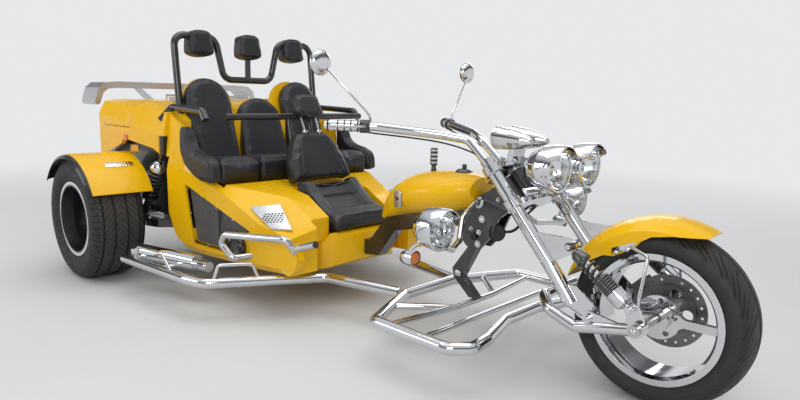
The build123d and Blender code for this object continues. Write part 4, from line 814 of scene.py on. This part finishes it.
def coil(centre, axis, start, length, turns, radius, wire_radius, shape, sides=8, steps=22):
    """A spring: a small ring swept round the axis while it climbs."""
    axis = Vector(axis).normalized()
    outward = axis.orthogonal().normalized()
    middle = Vector(centre) + axis * start + outward * radius
    angles = [step * math.tau / sides for step in range(sides)]
    offsets = [(outward * math.cos(angle) + axis * math.sin(angle)) * wire_radius for angle in angles]
    ring = [shape.verts.new(middle + offset) for offset in offsets]
    edges = [shape.edges.new((ring[step - 1], ring[step])) for step in range(sides)]
    count = int(turns * steps)
    bmesh.ops.spin(shape, geom=ring + edges, cent=centre, axis=axis, angle=math.tau * turns, steps=count,
                   dvec=axis * (length / count))
    bmesh.ops.recalc_face_normals(shape, faces=shape.faces)
    return shape


def eye(spot, half, radius, shape, hole=6):
    """A bush across the trike with a bolt hole through it."""
    spun([(-half, hole), (-half, radius - 1), (-half + 1, radius), (half - 1, radius), (half, radius - 1),
          (half, hole), (-half, hole)], spot, (0, 1, 0), 28, shape)
    return shape


for side, side_name in sides:
    low, high = at(2850, side * 216, 379), at(2622, side * 216, 548)
    up = (high - low).normalized()
    bright, dark = bmesh.new(), bmesh.new()
    eye(low, 11, 15.8, bright)
    spun([(12, 0), (12, 12), (20, 22), (22, 29), (28, 31), (68, 31), (69, 32.5), (73, 32.5), (74, 0)], low,
         up, 40, bright)
    spun([(70, 0), (70, 13.5), (232, 13.5), (232, 0)], low, up, 24, bright)
    spun([(74, 20), (74, 25.5), (136, 25.5), (138, 20)], low, up, 32, dark)
    coil(low, up, 0.078, 0.057, 6, 0.0262, 0.0044, dark)
    coil(low, up, 0.139, 0.078, 3.6, 0.0235, 0.0044, dark)
    spun([(214, 0), (214, 29), (219, 30), (224, 28), (246, 25), (262, 14), (262, 0)], low, up, 36, dark)
    eye(high, 11, 15.8, dark)
    front_unit = piece("front_spring_" + side_name, bright, "steering_assembly", chrome)
    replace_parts(front_unit, "front_shocks")
    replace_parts(piece("front_coil_" + side_name, dark, "steering_assembly", spring_black),
                "front_shocks")

# Rear spring units: a coil of black wire over a black damper with a plated cap at the top. Each stands on a
# rear arm and leans forward to the frame under the mudguard.
for side, side_name in sides:
    low, high = at(118.6, side * 560, 350), at(316.5, side * 540, 687)
    up = (high - low).normalized()
    reach = (high - low).length
    bright, dark = bmesh.new(), bmesh.new()
    eye(low, 12, 15, dark)
    eye(high, 12, 15, dark)
    spun([(12, 0), (12, 20), (110, 20), (110, 44), (118, 44.5), (121, 20), (200, 20), (201, 9),
          (reach * 1000 - 20, 9)], low, up, 32, dark)
    coil(low, up, 0.126, 0.168, 6.5, 0.0375, 0.0062, dark, 10, 26)
    spun([(298, 10), (298, 43), (304, 44.5), (320, 42), (332, 34), (350, 24), (356, 10)], low, up, 36,
         bright)
    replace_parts(piece("rear_spring_" + side_name, dark, "chassis", spring_black), "rear_shocks")
    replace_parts(piece("rear_spring_cap_" + side_name, bright, "chassis", chrome), "rear_shocks")

# Lamps: spun chrome shells, open in front, with a polished bowl, a bulb under a small cap, a fluted glass
# in a rolled bezel and a peak over the top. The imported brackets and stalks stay; only the bowls' mouths are
# cut open.
bowl_finish, bowl_shader, wire = finish("lamp_bowl", Metallic=1.0)
wire_to(
    bowl_shader,
    Base_Color=wire.blend(wire.noise(14.0), (0.78, 0.79, 0.80), (0.86, 0.87, 0.88)),
    Roughness=wire.mottle(9.0, 0.05, 0.12),
    Normal=wire.bump((wire.place().part("Y") * 62).zigzag(), 0.004, 0.5),
)
glass, glass_shader, wire = finish("lamp_glass", Transmission_Weight=1.0, IOR=1.35)
wire_to(
    glass_shader,
    Base_Color=wire.blend(wire.noise(5.0), (0.92, 0.94, 0.95), (0.97, 0.98, 0.98)),
    Roughness=wire.mottle(22.0, 0.02, 0.06),
    Normal=wire.bump((wire.place().part("Y") * 70).zigzag(), 0.001, 0.08),
)


def lamp(name, centre, radius, depth, body):
    """Bowl, bulb, bezel, peak and glass of one lamp that faces forward."""
    bowl = spun([(-4, radius - 4), (-18, radius * 0.93), (-depth * 0.36, radius * 0.74),
                 (-depth * 0.50, radius * 0.48), (-depth * 0.56, radius * 0.20), (-depth * 0.57, 0)],
                centre, (1, 0, 0), 64)
    bmesh.ops.reverse_faces(bowl, faces=bowl.faces)
    piece(name + "_bowl", bowl, body, bowl_finish)
    trim = spun([(-14, radius + 0.5), (-6, radius + 4.5), (4, radius + 4), (9, radius - 1),
                 (8, radius - 7.5), (1, radius - 8.5)], centre, (1, 0, 0), 72)
    spun([(-depth * 0.56, 0), (-depth * 0.56, 12), (-depth * 0.34, 12), (-depth * 0.30, 17),
          (-depth * 0.18, 16), (-depth * 0.14, 10), (-depth * 0.13, 0)], centre, (1, 0, 0), 28, trim)
    piece(name + "_bezel", trim, body, chrome)
    peak = spun([(-52, radius + 1.5), (-10, radius + 7.5), (30, radius + 6), (36, radius + 1),
                 (33, radius - 1), (28, radius + 3), (-10, radius + 4.5), (-52, radius - 0.5)], centre,
                (1, 0, 0), 72)
    bmesh.ops.bisect_plane(peak, geom=peak.verts[:] + peak.edges[:] + peak.faces[:], plane_no=(-0.55, 0, 1),
                           plane_co=centre + Vector((0, 0, radius * 0.34 / 1000)), clear_inner=True)
    piece(name + "_peak", peak, body, chrome)
    pane = spun([(3, radius - 6), (10, radius * 0.78), (14.5, radius * 0.42), (16, 0)], centre, (1, 0, 0),
                56)
    bmesh.ops.solidify(pane, geom=pane.faces[:], thickness=0.0022)
    piece(name + "_glass", pane, body, glass)


def opened(name, new_name, centres, radius, made):
    """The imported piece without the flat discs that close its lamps' mouths."""
    shape = merged(name)
    discs = []
    for face in shape.faces:
        offsets = [face.calc_center_median() - centre for centre in centres]
        near = any(abs(x) < 0.0015 and math.hypot(y, z) < radius for x, y, z in offsets)
        if near and abs(face.normal.x) > 0.9:
            discs.append(face)
    bmesh.ops.delete(shape, geom=discs, context="FACES")
    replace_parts(piece(new_name, shape, nodes[name]["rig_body"], made), name)


head_lamps = [at(2502, side * 118, 797) for side in (-1, 1)]
opened("headlamps", "headlamp_shells", head_lamps, 0.086, chrome)
side_lamp_spots = [at(2274, side * 500, 588) for side in (-1, 1)]
opened("side_lamps", "side_lamp_shells", side_lamp_spots, 0.074, chrome)
for side_name, centre in zip(("right", "left"), head_lamps):
    lamp("headlamp_" + side_name, centre, 84.2, 140, "steering_assembly")
for side_name, centre in zip(("right", "left"), side_lamp_spots):
    lamp("side_lamp_" + side_name, centre, 72.2, 124, "chassis")


# Turn signals: small plated bullets with a peak and a moulded amber lens, one beside each side lamp, each
# on a bent stalk that is screwed to the lamp's own.
amber, amber_shader, wire = finish("amber_lens", Transmission_Weight=0.25, Coat_Weight=0.6,
                                   Coat_Roughness=0.05)
wire_to(
    amber_shader,
    Base_Color=wire.blend(wire.noise(30.0), (0.80, 0.18, 0.010), (0.92, 0.26, 0.015)),
    Roughness=wire.mottle(18.0, 0.14, 0.24),
    Normal=wire.bump((wire.place().part("Z") * 260).zigzag(), 0.002, 0.5),
)


def bent(points, radius, shape=None, rounds=6, sides=10, smooth=True):
    """A tube or hose through a few points."""
    curve = bpy.data.curves.new("run", "CURVE")
    curve.dimensions = "3D"
    curve.bevel_depth, curve.bevel_resolution, curve.use_fill_caps = radius, max(1, sides // 4), True
    curve.resolution_u = rounds
    line = curve.splines.new("NURBS" if smooth else "POLY")
    line.points.add(len(points) - 1)
    for knot, place in zip(line.points, points):
        knot.co = (*place, 1)
    if smooth:
        line.order_u, line.use_endpoint_u = min(4, len(points)), True
    holder = bpy.data.objects.new("run", curve)
    bpy.context.scene.collection.objects.link(holder)
    tube = bpy.data.meshes.new_from_object(holder.evaluated_get(bpy.context.evaluated_depsgraph_get()))
    bpy.data.objects.remove(holder)
    bpy.data.curves.remove(curve)
    shape = shape or bmesh.new()
    shape.from_mesh(tube)
    bpy.data.meshes.remove(tube)
    return shape


for side, side_name in sides:
    centre = at(2182, side * 540, 477)
    shell = spun([(0, 24), (4, 26.8), (-10, 27.8), (-34, 24), (-52, 14), (-60, 0)], centre, (1, 0, 0), 40)
    spun([(-20, 27.9), (12, 28.5), (13, 26.5), (-18, 26.5)], centre, (1, 0, 0), 40, shell)
    bent([at(2164, side * 536, 500), at(2168, side * 522, 516), at(2184, side * 512, 532),
          at(2200, side * 505, 540)], 0.007, shell)
    piece("turn_signal_" + side_name, shell, "chassis", chrome)
    lens = spun([(2, 24.5), (12, 22), (18, 13), (20, 0)], centre, (1, 0, 0), 36)
    piece("turn_lens_" + side_name, lens, "chassis", amber)

# Clocks: two plated bullet pods whose dials face the rider, with black faces, white ticks and a red needle.
# A rolled ring holds each dial in its pod.
dial_finish, dial_shader, wire = finish("dial_face", Roughness=0.5)
place = wire.place()
off = place.part("Y").size() - 0.056
rise = place.part("Z") - 0.893
spoke = rise.do("ARCTAN2", off)
radius = (rise * rise + off * off).do("SQRT")
tick = (spoke * 24 / math.tau + 0.5).cycle()
ticks = tick.band(0.40, 0.46, 0.54, 0.60) * radius.band(0.030, 0.031, 0.037, 0.038)
needle = (off + rise * 0.6).size().under(0.0008, 0.0014) * (rise > -0.006) * radius.under(0.028, 0.029)
boss = radius.under(0.0045, 0.005)
colour = wire.blend(wire.noise(40.0), (0.008, 0.008, 0.009), (0.016, 0.016, 0.017))
colour = wire.blend(needle, wire.blend(ticks, colour, (0.80, 0.80, 0.78)), (0.70, 0.06, 0.02))
wire_to(dial_shader, Base_Color=wire.blend(boss, colour, (0.03, 0.03, 0.03)))
for side, side_name in sides:
    dial = at(2189, side * 56, 893)
    ahead = Vector((169, side * 4, -9)).normalized()
    face = spun([(-0.6, 0), (-0.6, 41.5)], dial, ahead, 48)
    piece("dial_" + side_name, face, "steering_assembly", dial_finish)
    ring = spun([(6, 46.2), (-4, 46.8), (-7, 44.5), (-6, 41.2), (-1, 40.5)], dial, ahead, 56)
    piece("dial_ring_" + side_name, ring, "steering_assembly", chrome)

# Mirrors: domed plated backs, pressed from sheet, on bent stalks with a ball joint, and a flat glass let
# into the rear face under a rolled lip.
shape = merged("mirrors")
heads = []
for vertex in shape.verts:
    off = math.hypot(abs(vertex.co.y) - 0.490, vertex.co.z - 1.172)
    if 0.046 < off < 0.0535 and abs(vertex.co.x - rear_x - 1.609) < 0.0165:
        heads.append(vertex)
bmesh.ops.delete(shape, geom=heads, context="VERTS")
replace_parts(piece("mirror_stalks", shape, "steering_assembly", chrome), "mirrors")
mirror_glass, mirror_shader, wire = finish("mirror_glass", Metallic=1.0)
wire_to(mirror_shader, Base_Color=wire.blend(wire.noise(8.0), (0.84, 0.86, 0.88), (0.88, 0.90, 0.91)),
        Roughness=wire.noise(14.0, 4.0).between(0.5, 0.8, 0.01, 0.05))
for side, side_name in sides:
    centre = at(1609, side * 490, 1172)
    shell = spun([(-15, 46), (-16, 48.5), (-10, 51.5), (-2, 51.5), (6, 47), (12, 38), (15.2, 24), (16, 0)],
                 centre, (1, 0, 0), 56)
    joint = centre + Vector((0.004, -side * 0.018, -0.040))
    spun([(-4, 0), (-4, 10), (4, 10), (4, 0)], joint, (0, -side * 0.5, -0.8), 20, shell)
    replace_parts(piece("mirror_shell_" + side_name, shell, "steering_assembly", chrome), "mirrors")
    pane = spun([(-14.5, 46.5), (-14.8, 0)], centre, (1, 0, 0), 56)
    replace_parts(piece("mirror_pane_" + side_name, pane, "steering_assembly", mirror_glass),
                "mirrors")


# Radiators: one in each side panel, behind a black frame held by plated screws. The rear part is expanded
# mesh, the front part a plain black shroud that swells into a round filler housing at its foot.
def mirrored(shape):
    """Adds the far side's twin of a shape that was made for the right side."""
    everything = shape.verts[:] + shape.edges[:] + shape.faces[:]
    bmesh.ops.mirror(shape, geom=everything, matrix=Matrix.Identity(4), merge_dist=-1, axis="Y")
    bmesh.ops.recalc_face_normals(shape, faces=shape.faces)
    return shape


def ringed(outline, origin, sideways, upward, depth, width, rounding, shape=None):
    """A flat frame: the outline inset by its width, the middle left out, pulled back by its depth."""
    shape = shape or bmesh.new()
    sideways, upward = Vector(sideways).normalized(), Vector(upward).normalized()
    before = set(shape.faces)
    face = drawn(outline, origin, sideways, upward, shape)
    bmesh.ops.inset_region(shape, faces=[face], thickness=width / 1000, use_boundary=True)
    bmesh.ops.delete(shape, geom=[face], context="FACES_ONLY")
    band = [item for item in shape.faces if item not in before]
    pulled = bmesh.ops.extrude_face_region(shape, geom=band)
    grown = [item for item in pulled["geom"] if isinstance(item, bmesh.types.BMVert)]
    bmesh.ops.translate(shape, verts=grown, vec=sideways.cross(upward) * (-depth / 1000))
    edges = [edge for edge in shape.edges
             if any(item not in before for item in edge.link_faces) and edge.calc_face_angle(0) > 0.6]
    bmesh.ops.recalc_face_normals(shape, faces=shape.faces)
    bmesh.ops.bevel(shape, geom=edges, offset=rounding / 1000, segments=2, affect="EDGES", profile=0.5,
                    material=-1, clamp_overlap=True)
    return shape


mesh_finish, mesh_shader, wire = finish("expanded_mesh", Metallic=0.5)
place = wire.place()
along, height = place.part("X"), place.part("Z")
rising = ((along * 0.8 + height * 0.55) * 95).zigzag()
falling = ((along * 0.8 - height * 0.55) * 95).zigzag()
strand = 1 - rising.do("MINIMUM", falling).between(0.08, 0.16)
metal = wire.blend(wire.noise(30.0), (0.24, 0.24, 0.23), (0.36, 0.36, 0.35))
# The gaps between the strands are painted near black: painted shade behind the mesh.
wire_to(
    mesh_shader,
    Base_Color=wire.blend(strand, (0.006, 0.006, 0.006), metal),
    Roughness=wire.mottle(50.0, 0.35, 0.55),
    Normal=wire.bump(strand, 0.002, 0.8),
)
panel_side, panel_up = (1, 0.0867, 0), (0, 0, 1)
panel = at(400, -560, 0)
outer = Vector(panel_side).normalized().cross(Vector(panel_up))
opening = [(173, 552), (180, 551), (672, 388), (684, 380), (676, 372), (470, 255), (236, 258), (229, 266)]
frame_shape = mirrored(ringed(opening, panel - outer * 0.008, panel_side, panel_up, 18, 11, 2.5))
piece("radiator_frames", frame_shape, "chassis", black)
mesh_part = [(182, 540), (428, 462), (428, 262), (240, 266)]
shape = prism(mesh_part, panel - outer * 0.020, panel_side, panel_up, 4)
piece("radiator_mesh", mirrored(shape), "chassis", mesh_finish)
shroud = [(428, 462), (668, 382), (468, 262), (428, 262)]
plate = prism(shroud, panel - outer * 0.016, panel_side, panel_up, 10, 3)
housing = at(1012, -516, 300)
spun([(-20, 0), (-20, 52), (-4, 56), (10, 55), (18, 50), (20, 43), (12, 40), (8, 34), (8, 0)], housing,
     outer, 48, plate)
piece("radiator_shrouds", mirrored(plate), "chassis", black)
screws = bmesh.new()
screw_spots = ((186, 538), (300, 508), (430, 466), (560, 422), (232, 270), (205, 410), (350, 258), (460, 260))
for u, v in screw_spots:
    spot = panel + Vector(panel_side).normalized() * (u / 1000) + Vector((0, 0, v / 1000)) - outer * 0.007
    spun([(-2, 5.5), (4, 5.5), (6, 3), (6, 0)], spot, outer, 14, screws)
for turn in range(3):
    angle = math.radians(120 * turn + 20)
    offset = Vector((math.cos(angle) * 0.047, math.cos(angle) * 0.004, math.sin(angle) * 0.047))
    spun([(0, 4.5), (4, 4.5), (5.5, 0)], housing + outer * 0.018 + offset, outer, 12, screws)
piece("radiator_screws", mirrored(screws), "chassis", chrome)

# Vent plates: a bright cast plate let into each side of the deck beside the rider's seat, bedded flush in
# the moulding and drilled with slanted rows of holes.
vent_corners = [at(1066, -480, 497), at(1184, -380, 512), at(1340, -432, 420), at(1252, -480, 410)]
vent_middle = sum(vent_corners, Vector()) / 4
vent_side = (vent_corners[1] - vent_corners[0] + vent_corners[2] - vent_corners[3]).normalized()
vent_rise = (vent_corners[0] - vent_corners[3] + vent_corners[1] - vent_corners[2]).normalized()
vent_out = vent_side.cross(vent_rise).normalized()
if vent_out.z < 0:
    vent_out = -vent_out
vent_up = vent_out.cross(vent_side)
offsets = [(corner - vent_middle) * 1000 for corner in vent_corners]
flat = [(offset.dot(vent_side), offset.dot(vent_up)) for offset in offsets]
if sum(a[0] * b[1] - a[1] * b[0] for a, b in zip(flat, flat[1:] + flat[:1])) < 0:
    flat.reverse()
vent_finish, vent_shader, wire = finish("cast_vent_plate")
place = wire.place()
across = place.part("X") - vent_middle.x
depth = -1 * place.part("Y").size() - vent_middle.y
height = place.part("Z") - vent_middle.z
u = across * vent_side.x + depth * vent_side.y + height * vent_side.z
v = across * vent_up.x + depth * vent_up.y + height * vent_up.z
hole_pitch, row_pitch = 0.0165, 0.0125
row = (v / row_pitch).do("FLOOR")
over = ((u + v * 0.35) / hole_pitch + row * 0.5).cycle() - 0.5
under = (v / row_pitch).cycle() - 0.5
hole = (over * over + under * under * 0.72).do("SQRT").under(0.30, 0.34)
hole = hole * u.size().under(0.052, 0.053) * (v + 0.004).size().under(0.030, 0.031)
cast = wire.blend(wire.noise(60.0, 4.0), (0.56, 0.57, 0.58), (0.68, 0.69, 0.70))
# The holes exist only in the shading: a bump, and a near-black colour in them that is painted shade.
wire_to(
    vent_shader,
    Base_Color=wire.blend(hole, cast, (0.004, 0.004, 0.004)),
    Roughness=hole * 0.5 + wire.mottle(30.0, 0.26, 0.38),
    Metallic=(1 - hole) * 0.85,
    Normal=wire.bump(-1 * hole, 0.004, 0.8),
)
shape = prism(flat, vent_middle + vent_out * 0.013, vent_side, vent_up, 20, 5, 3)
piece("vent_plates", mirrored(shape), "chassis", vent_finish)

# Handlebar controls: plated grips with black rubber rings, a black cast switch block clamped inboard of
# each, a bent lever ahead of it and a short cable that runs under the bar to the yoke.
grip_foot, grip_end = at(1645, -307.8, 914.4), at(1540, -402.8, 915.16)
run = (grip_end - grip_foot).normalized()
shape = mirrored(spun([(0, 19.5), (0, 22.5), (4, 23.8), (134, 23.8), (139.5, 22.5), (141, 19.5), (0, 19.5)],
                      grip_foot, run, 40))
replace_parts(piece("grip_sleeves", shape, "steering_assembly", chrome), "grips")
shape = bmesh.new()
for start, length in ((2, 7), (32, 6), (60, 6), (88, 6), (130, 8)):
    spun([(start, 23.6), (start + 1, 25.2), (start + length - 1, 25.2), (start + length, 23.6)], grip_foot,
         run, 36, shape)
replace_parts(piece("grip_rings", mirrored(shape), "steering_assembly", rubber), "grips")
block = spun([(-46, 19.2), (-46, 26), (-42, 28.5), (-6, 28.5), (-2, 26), (-2, 19.2)], grip_foot, run, 28)
prism([(-16, -24), (16, -24), (18, 6), (12, 24), (-12, 24), (-18, 6)], grip_foot - run * 0.004,
      Vector((0, 0, 1)).cross(run), (0, 0, 1), 40, 4, 2, block)
piece("switch_blocks", mirrored(block), "steering_assembly", black)
ahead = Vector((0, 0, 1)).cross(run)
if ahead.x < 0:
    ahead = -ahead
lever_points = ((-0.030, 0.020), (-0.020, 0.040), (0.030, 0.050), (0.100, 0.046), (0.128, 0.050))
lever = bent([grip_foot + run * along + ahead * out for along, out in lever_points], 0.0055)
piece("hand_levers", mirrored(lever), "steering_assembly", chrome)
cable = bent([grip_foot - run * 0.042 - Vector((0, 0, 0.026)),
              grip_foot - run * 0.10 - Vector((0, 0, 0.032)), at(1860, -160, 872), at(2000, -74, 850),
              at(2110, -58, 812), at(2215, -50, 776)], 0.0035)
piece("bar_cables", mirrored(cable), "steering_assembly", rubber)

# Tank top: a black gear lever with four bright rings in a rubber boot, and a black moulded screw cap with
# its key, both set into the tank's crown.
shape = spun([(0, 23), (6, 22), (18, 13), (40, 10), (46, 16.5), (118, 16.5), (122, 12), (122, 0)],
             at(1812, 0, 700), (0, 0, 1), 32)
spun([(-10, 43), (6, 43), (12, 40), (22, 31), (26, 20), (27, 0)], at(1985, 0, 718), (0, 0, 1), 48, shape)
prism([(-11, 0), (11, 0), (12, 16), (6, 22), (-6, 22), (-12, 16)], at(1985, 3, 743), (1, 0, 0), (0, 0, 1),
      -5, 1.5, 2, shape)
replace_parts(piece("gear_lever", shape, "chassis", black), "tank_fittings")
shape = bmesh.new()
for height in (52, 70, 88, 106):
    spun([(height, 16), (height + 1, 17.8), (height + 8, 17.8), (height + 9, 16)], at(1812, 0, 700),
         (0, 0, 1), 32, shape)
spun([(1, 43.5), (4, 44.5), (7, 43)], at(1985, 0, 716), (0, 0, 1), 48, shape)
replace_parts(piece("lever_rings", shape, "chassis", chrome), "tank_fittings")

# Ignition panels: a small silver switch plate on each side of the tank's tail, held by its two black
# switches.
shape = bmesh.new()
panel_out = Vector((-0.30, -0.88, -0.10)).normalized()
prism([(-30, -42), (24, -36), (32, 34), (-12, 44), (-34, 20)], at(1728, -148, 590), (0.93, -0.33, 0),
      (0.05, -0.12, 0.99), 12, 4, 3, shape)
piece("switch_plates", mirrored(shape), "chassis", silver)
shape = spun([(0, 0), (0, 9), (4, 9), (5, 7), (5, 0)], at(1732, -150, 596), panel_out, 20)
spun([(0, 0), (0, 3.5), (3, 0)], at(1712, -146, 570), panel_out, 12, shape)
piece("switches", mirrored(shape), "chassis", black)

# Head plates: plated bosses where the lamp stalks start, bolts below them, a moulded horn with its hose,
# three looms that bend round the head and the bright block at the strut's foot.
shape = spun([(0, 26), (6, 27), (12, 25), (16, 18), (18, 14)], at(2108, -45, 618), (0, -1, 0), 36)
for x, z, radius, corners in (
    (2123, 548, 11, 6), (2111, 489, 8, 20), (2108, 438, 11, 6), (2070, 500, 6, 20), (2200, 640, 6, 20),
    (2040, 570, 6, 20),
):
    spun([(0, radius * 1.5), (2.5, radius * 1.5), (3, radius), (10, radius), (12, radius * 0.75), (12, 0)],
         at(x, -45, z), (0, -1, 0), corners, shape)
prism([(-16, -12), (16, -12), (16, 12), (-16, 12)], at(1994, -21, 284), (1, 0, 0), (0, 0, 1), -10, 3, 2,
      shape)
piece("head_bolts", mirrored(shape), "chassis", chrome)
shape = spun([(-14, 0), (-14, 24), (-4, 34), (6, 36), (10, 33), (4, 28), (2, 12), (6, 0)],
             at(2196, -34, 500), (0.35, -0.9, 0.1), 40)
bent([at(2206, -22, 506), at(2250, -22, 506), at(2286, -28, 520), at(2300, -26, 560)], 0.006, shape)
spun([(0, 14), (3, 16), (12, 16), (14, 13), (14, 0)], at(2088, -45, 470), (0, -1, 0), 24, shape)
piece("horn", shape, "chassis", rubber)
shape = bmesh.new()
for y, low in ((30, 640), (0, 628), (-24, 646)):
    run_points = ((2300, 752), (2336, 730), (2362, low + 30), (2330, low - 30), (2270, low - 70))
    bent([at(x, y, z) for x, z in run_points], 0.0045, shape)
piece("loom", shape, "chassis", rubber)

# Fork trim: plated split collars where the yokes clamp the legs, each turned from bar and drawn tight by
# two small screws on its outer side.
rake = math.radians(40.7)
leg_up = Vector((-math.sin(rake), 0, math.cos(rake)))
shape = bmesh.new()
for height in (0.0, 0.158):
    ring_at = at(2351, -168, 655) + leg_up * height
    spun([(-20, 27.2), (-20, 33.5), (-17, 36), (17, 36), (20, 33.5), (20, 27.2)], ring_at, leg_up, 44,
         shape)
    for step in (-0.010, 0.010):
        spot = ring_at + leg_up * step - Vector((0, 0.035, 0))
        spun([(0, 6), (4, 6), (6, 3), (6, 0)], spot, (0, -1, 0), 14, shape)
piece("leg_collars", mirrored(shape), "steering_assembly", chrome)

# Fixings: the strip bolts that hold the front mudguard's stays and the hexagon nut at each end of the front
# axle, all plated steel, screwed home.
shape = bmesh.new()
for x, z in ((2738, 531), (2778, 549)):
    spun([(0, 7.5), (3, 7.5), (6, 4.5), (7, 0)], at(x, -105.5, z), (0, -1, 0), 18, shape)
spun([(0, 12), (4, 12), (5, 9), (12, 9), (14, 6), (15, 0)], at(2876, -226, 313), (0, -1, 0), 6, shape)
piece("fixings", mirrored(shape), "steering_assembly", chrome)

# Markers: a moulded amber lamp at each flank of the tail, a clear strip on each rear mudguard, plain red
# lamps behind in plated rims, and a blank plate between them.
marker = [(-22, -17), (20, -17), (24, 0), (20, 17), (-22, 17), (-25, 0)]
shape = prism(marker, at(12, -607, 772), (1, 0, 0), (0, 0, 1), 8, 4, 3)
piece("side_markers", mirrored(shape), "chassis", amber)
strip_out = Vector((0.52, 0, 0.854))
strip_across = Vector((0, 1, 0))
strip_up = strip_out.cross(strip_across)
shape = prism([(-76, -12), (-64, -20), (70, -20), (76, -14), (76, 14), (70, 20), (-64, 20), (-76, 12)],
              at(0, -722, 332) + strip_out * 0.3635, strip_across, strip_up, 5, 2, 2)
piece("guard_strips", mirrored(shape), "chassis", bowl_finish)
red, red_shader, wire = finish("red_lens", Transmission_Weight=0.2, Coat_Weight=0.6, Coat_Roughness=0.05)
wire_to(
    red_shader,
    Base_Color=wire.blend(wire.noise(30.0), (0.42, 0.010, 0.008), (0.55, 0.016, 0.012)),
    Roughness=wire.mottle(18.0, 0.12, 0.22),
    Normal=wire.bump((wire.place().part("Z") * 220).zigzag(), 0.002, 0.5),
)
shape, rims = bmesh.new(), bmesh.new()
for height in (770, 706):
    spun([(0, 27), (6, 25.5), (11, 17), (13, 0)], at(-355, -555, height), (-1, 0, 0), 36, shape)
    spun([(0, 27), (0, 32), (4, 33), (7, 31), (7, 27)], at(-355, -555, height), (-1, 0, 0), 36, rims)
piece("tail_lamps", mirrored(shape), "chassis", red)
piece("tail_lamp_rims", mirrored(rims), "chassis", chrome)
plate = [(-180, -40), (180, -40), (180, 40), (-180, 40)]
shape = prism(plate, at(-359.5, 0, 780), (0, -1, 0), (0, 0, 1), 4, 1.5, 2)
piece("blank_plate", shape, "chassis", silver)

# Front brake disc: a drilled plate of dark steel on an alloy carrier, ground on a lathe, so that fine
# turning lines run round it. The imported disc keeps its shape.
disc_dark, disc_shader, wire = finish("ground_disc", Metallic=1.0)
radius = wire.around(front_x, front_axle_z)[2]
wire_to(
    disc_shader,
    Base_Color=wire.blend(wire.noise(10.0, 5.0), (0.13, 0.13, 0.13), (0.22, 0.22, 0.215)),
    Roughness=(radius * 900).zigzag() * 0.2 + 0.28,
    Normal=wire.bump((radius * 900).zigzag(), 0.0006, 0.3),
)
coat(disc_dark, "front_disc")
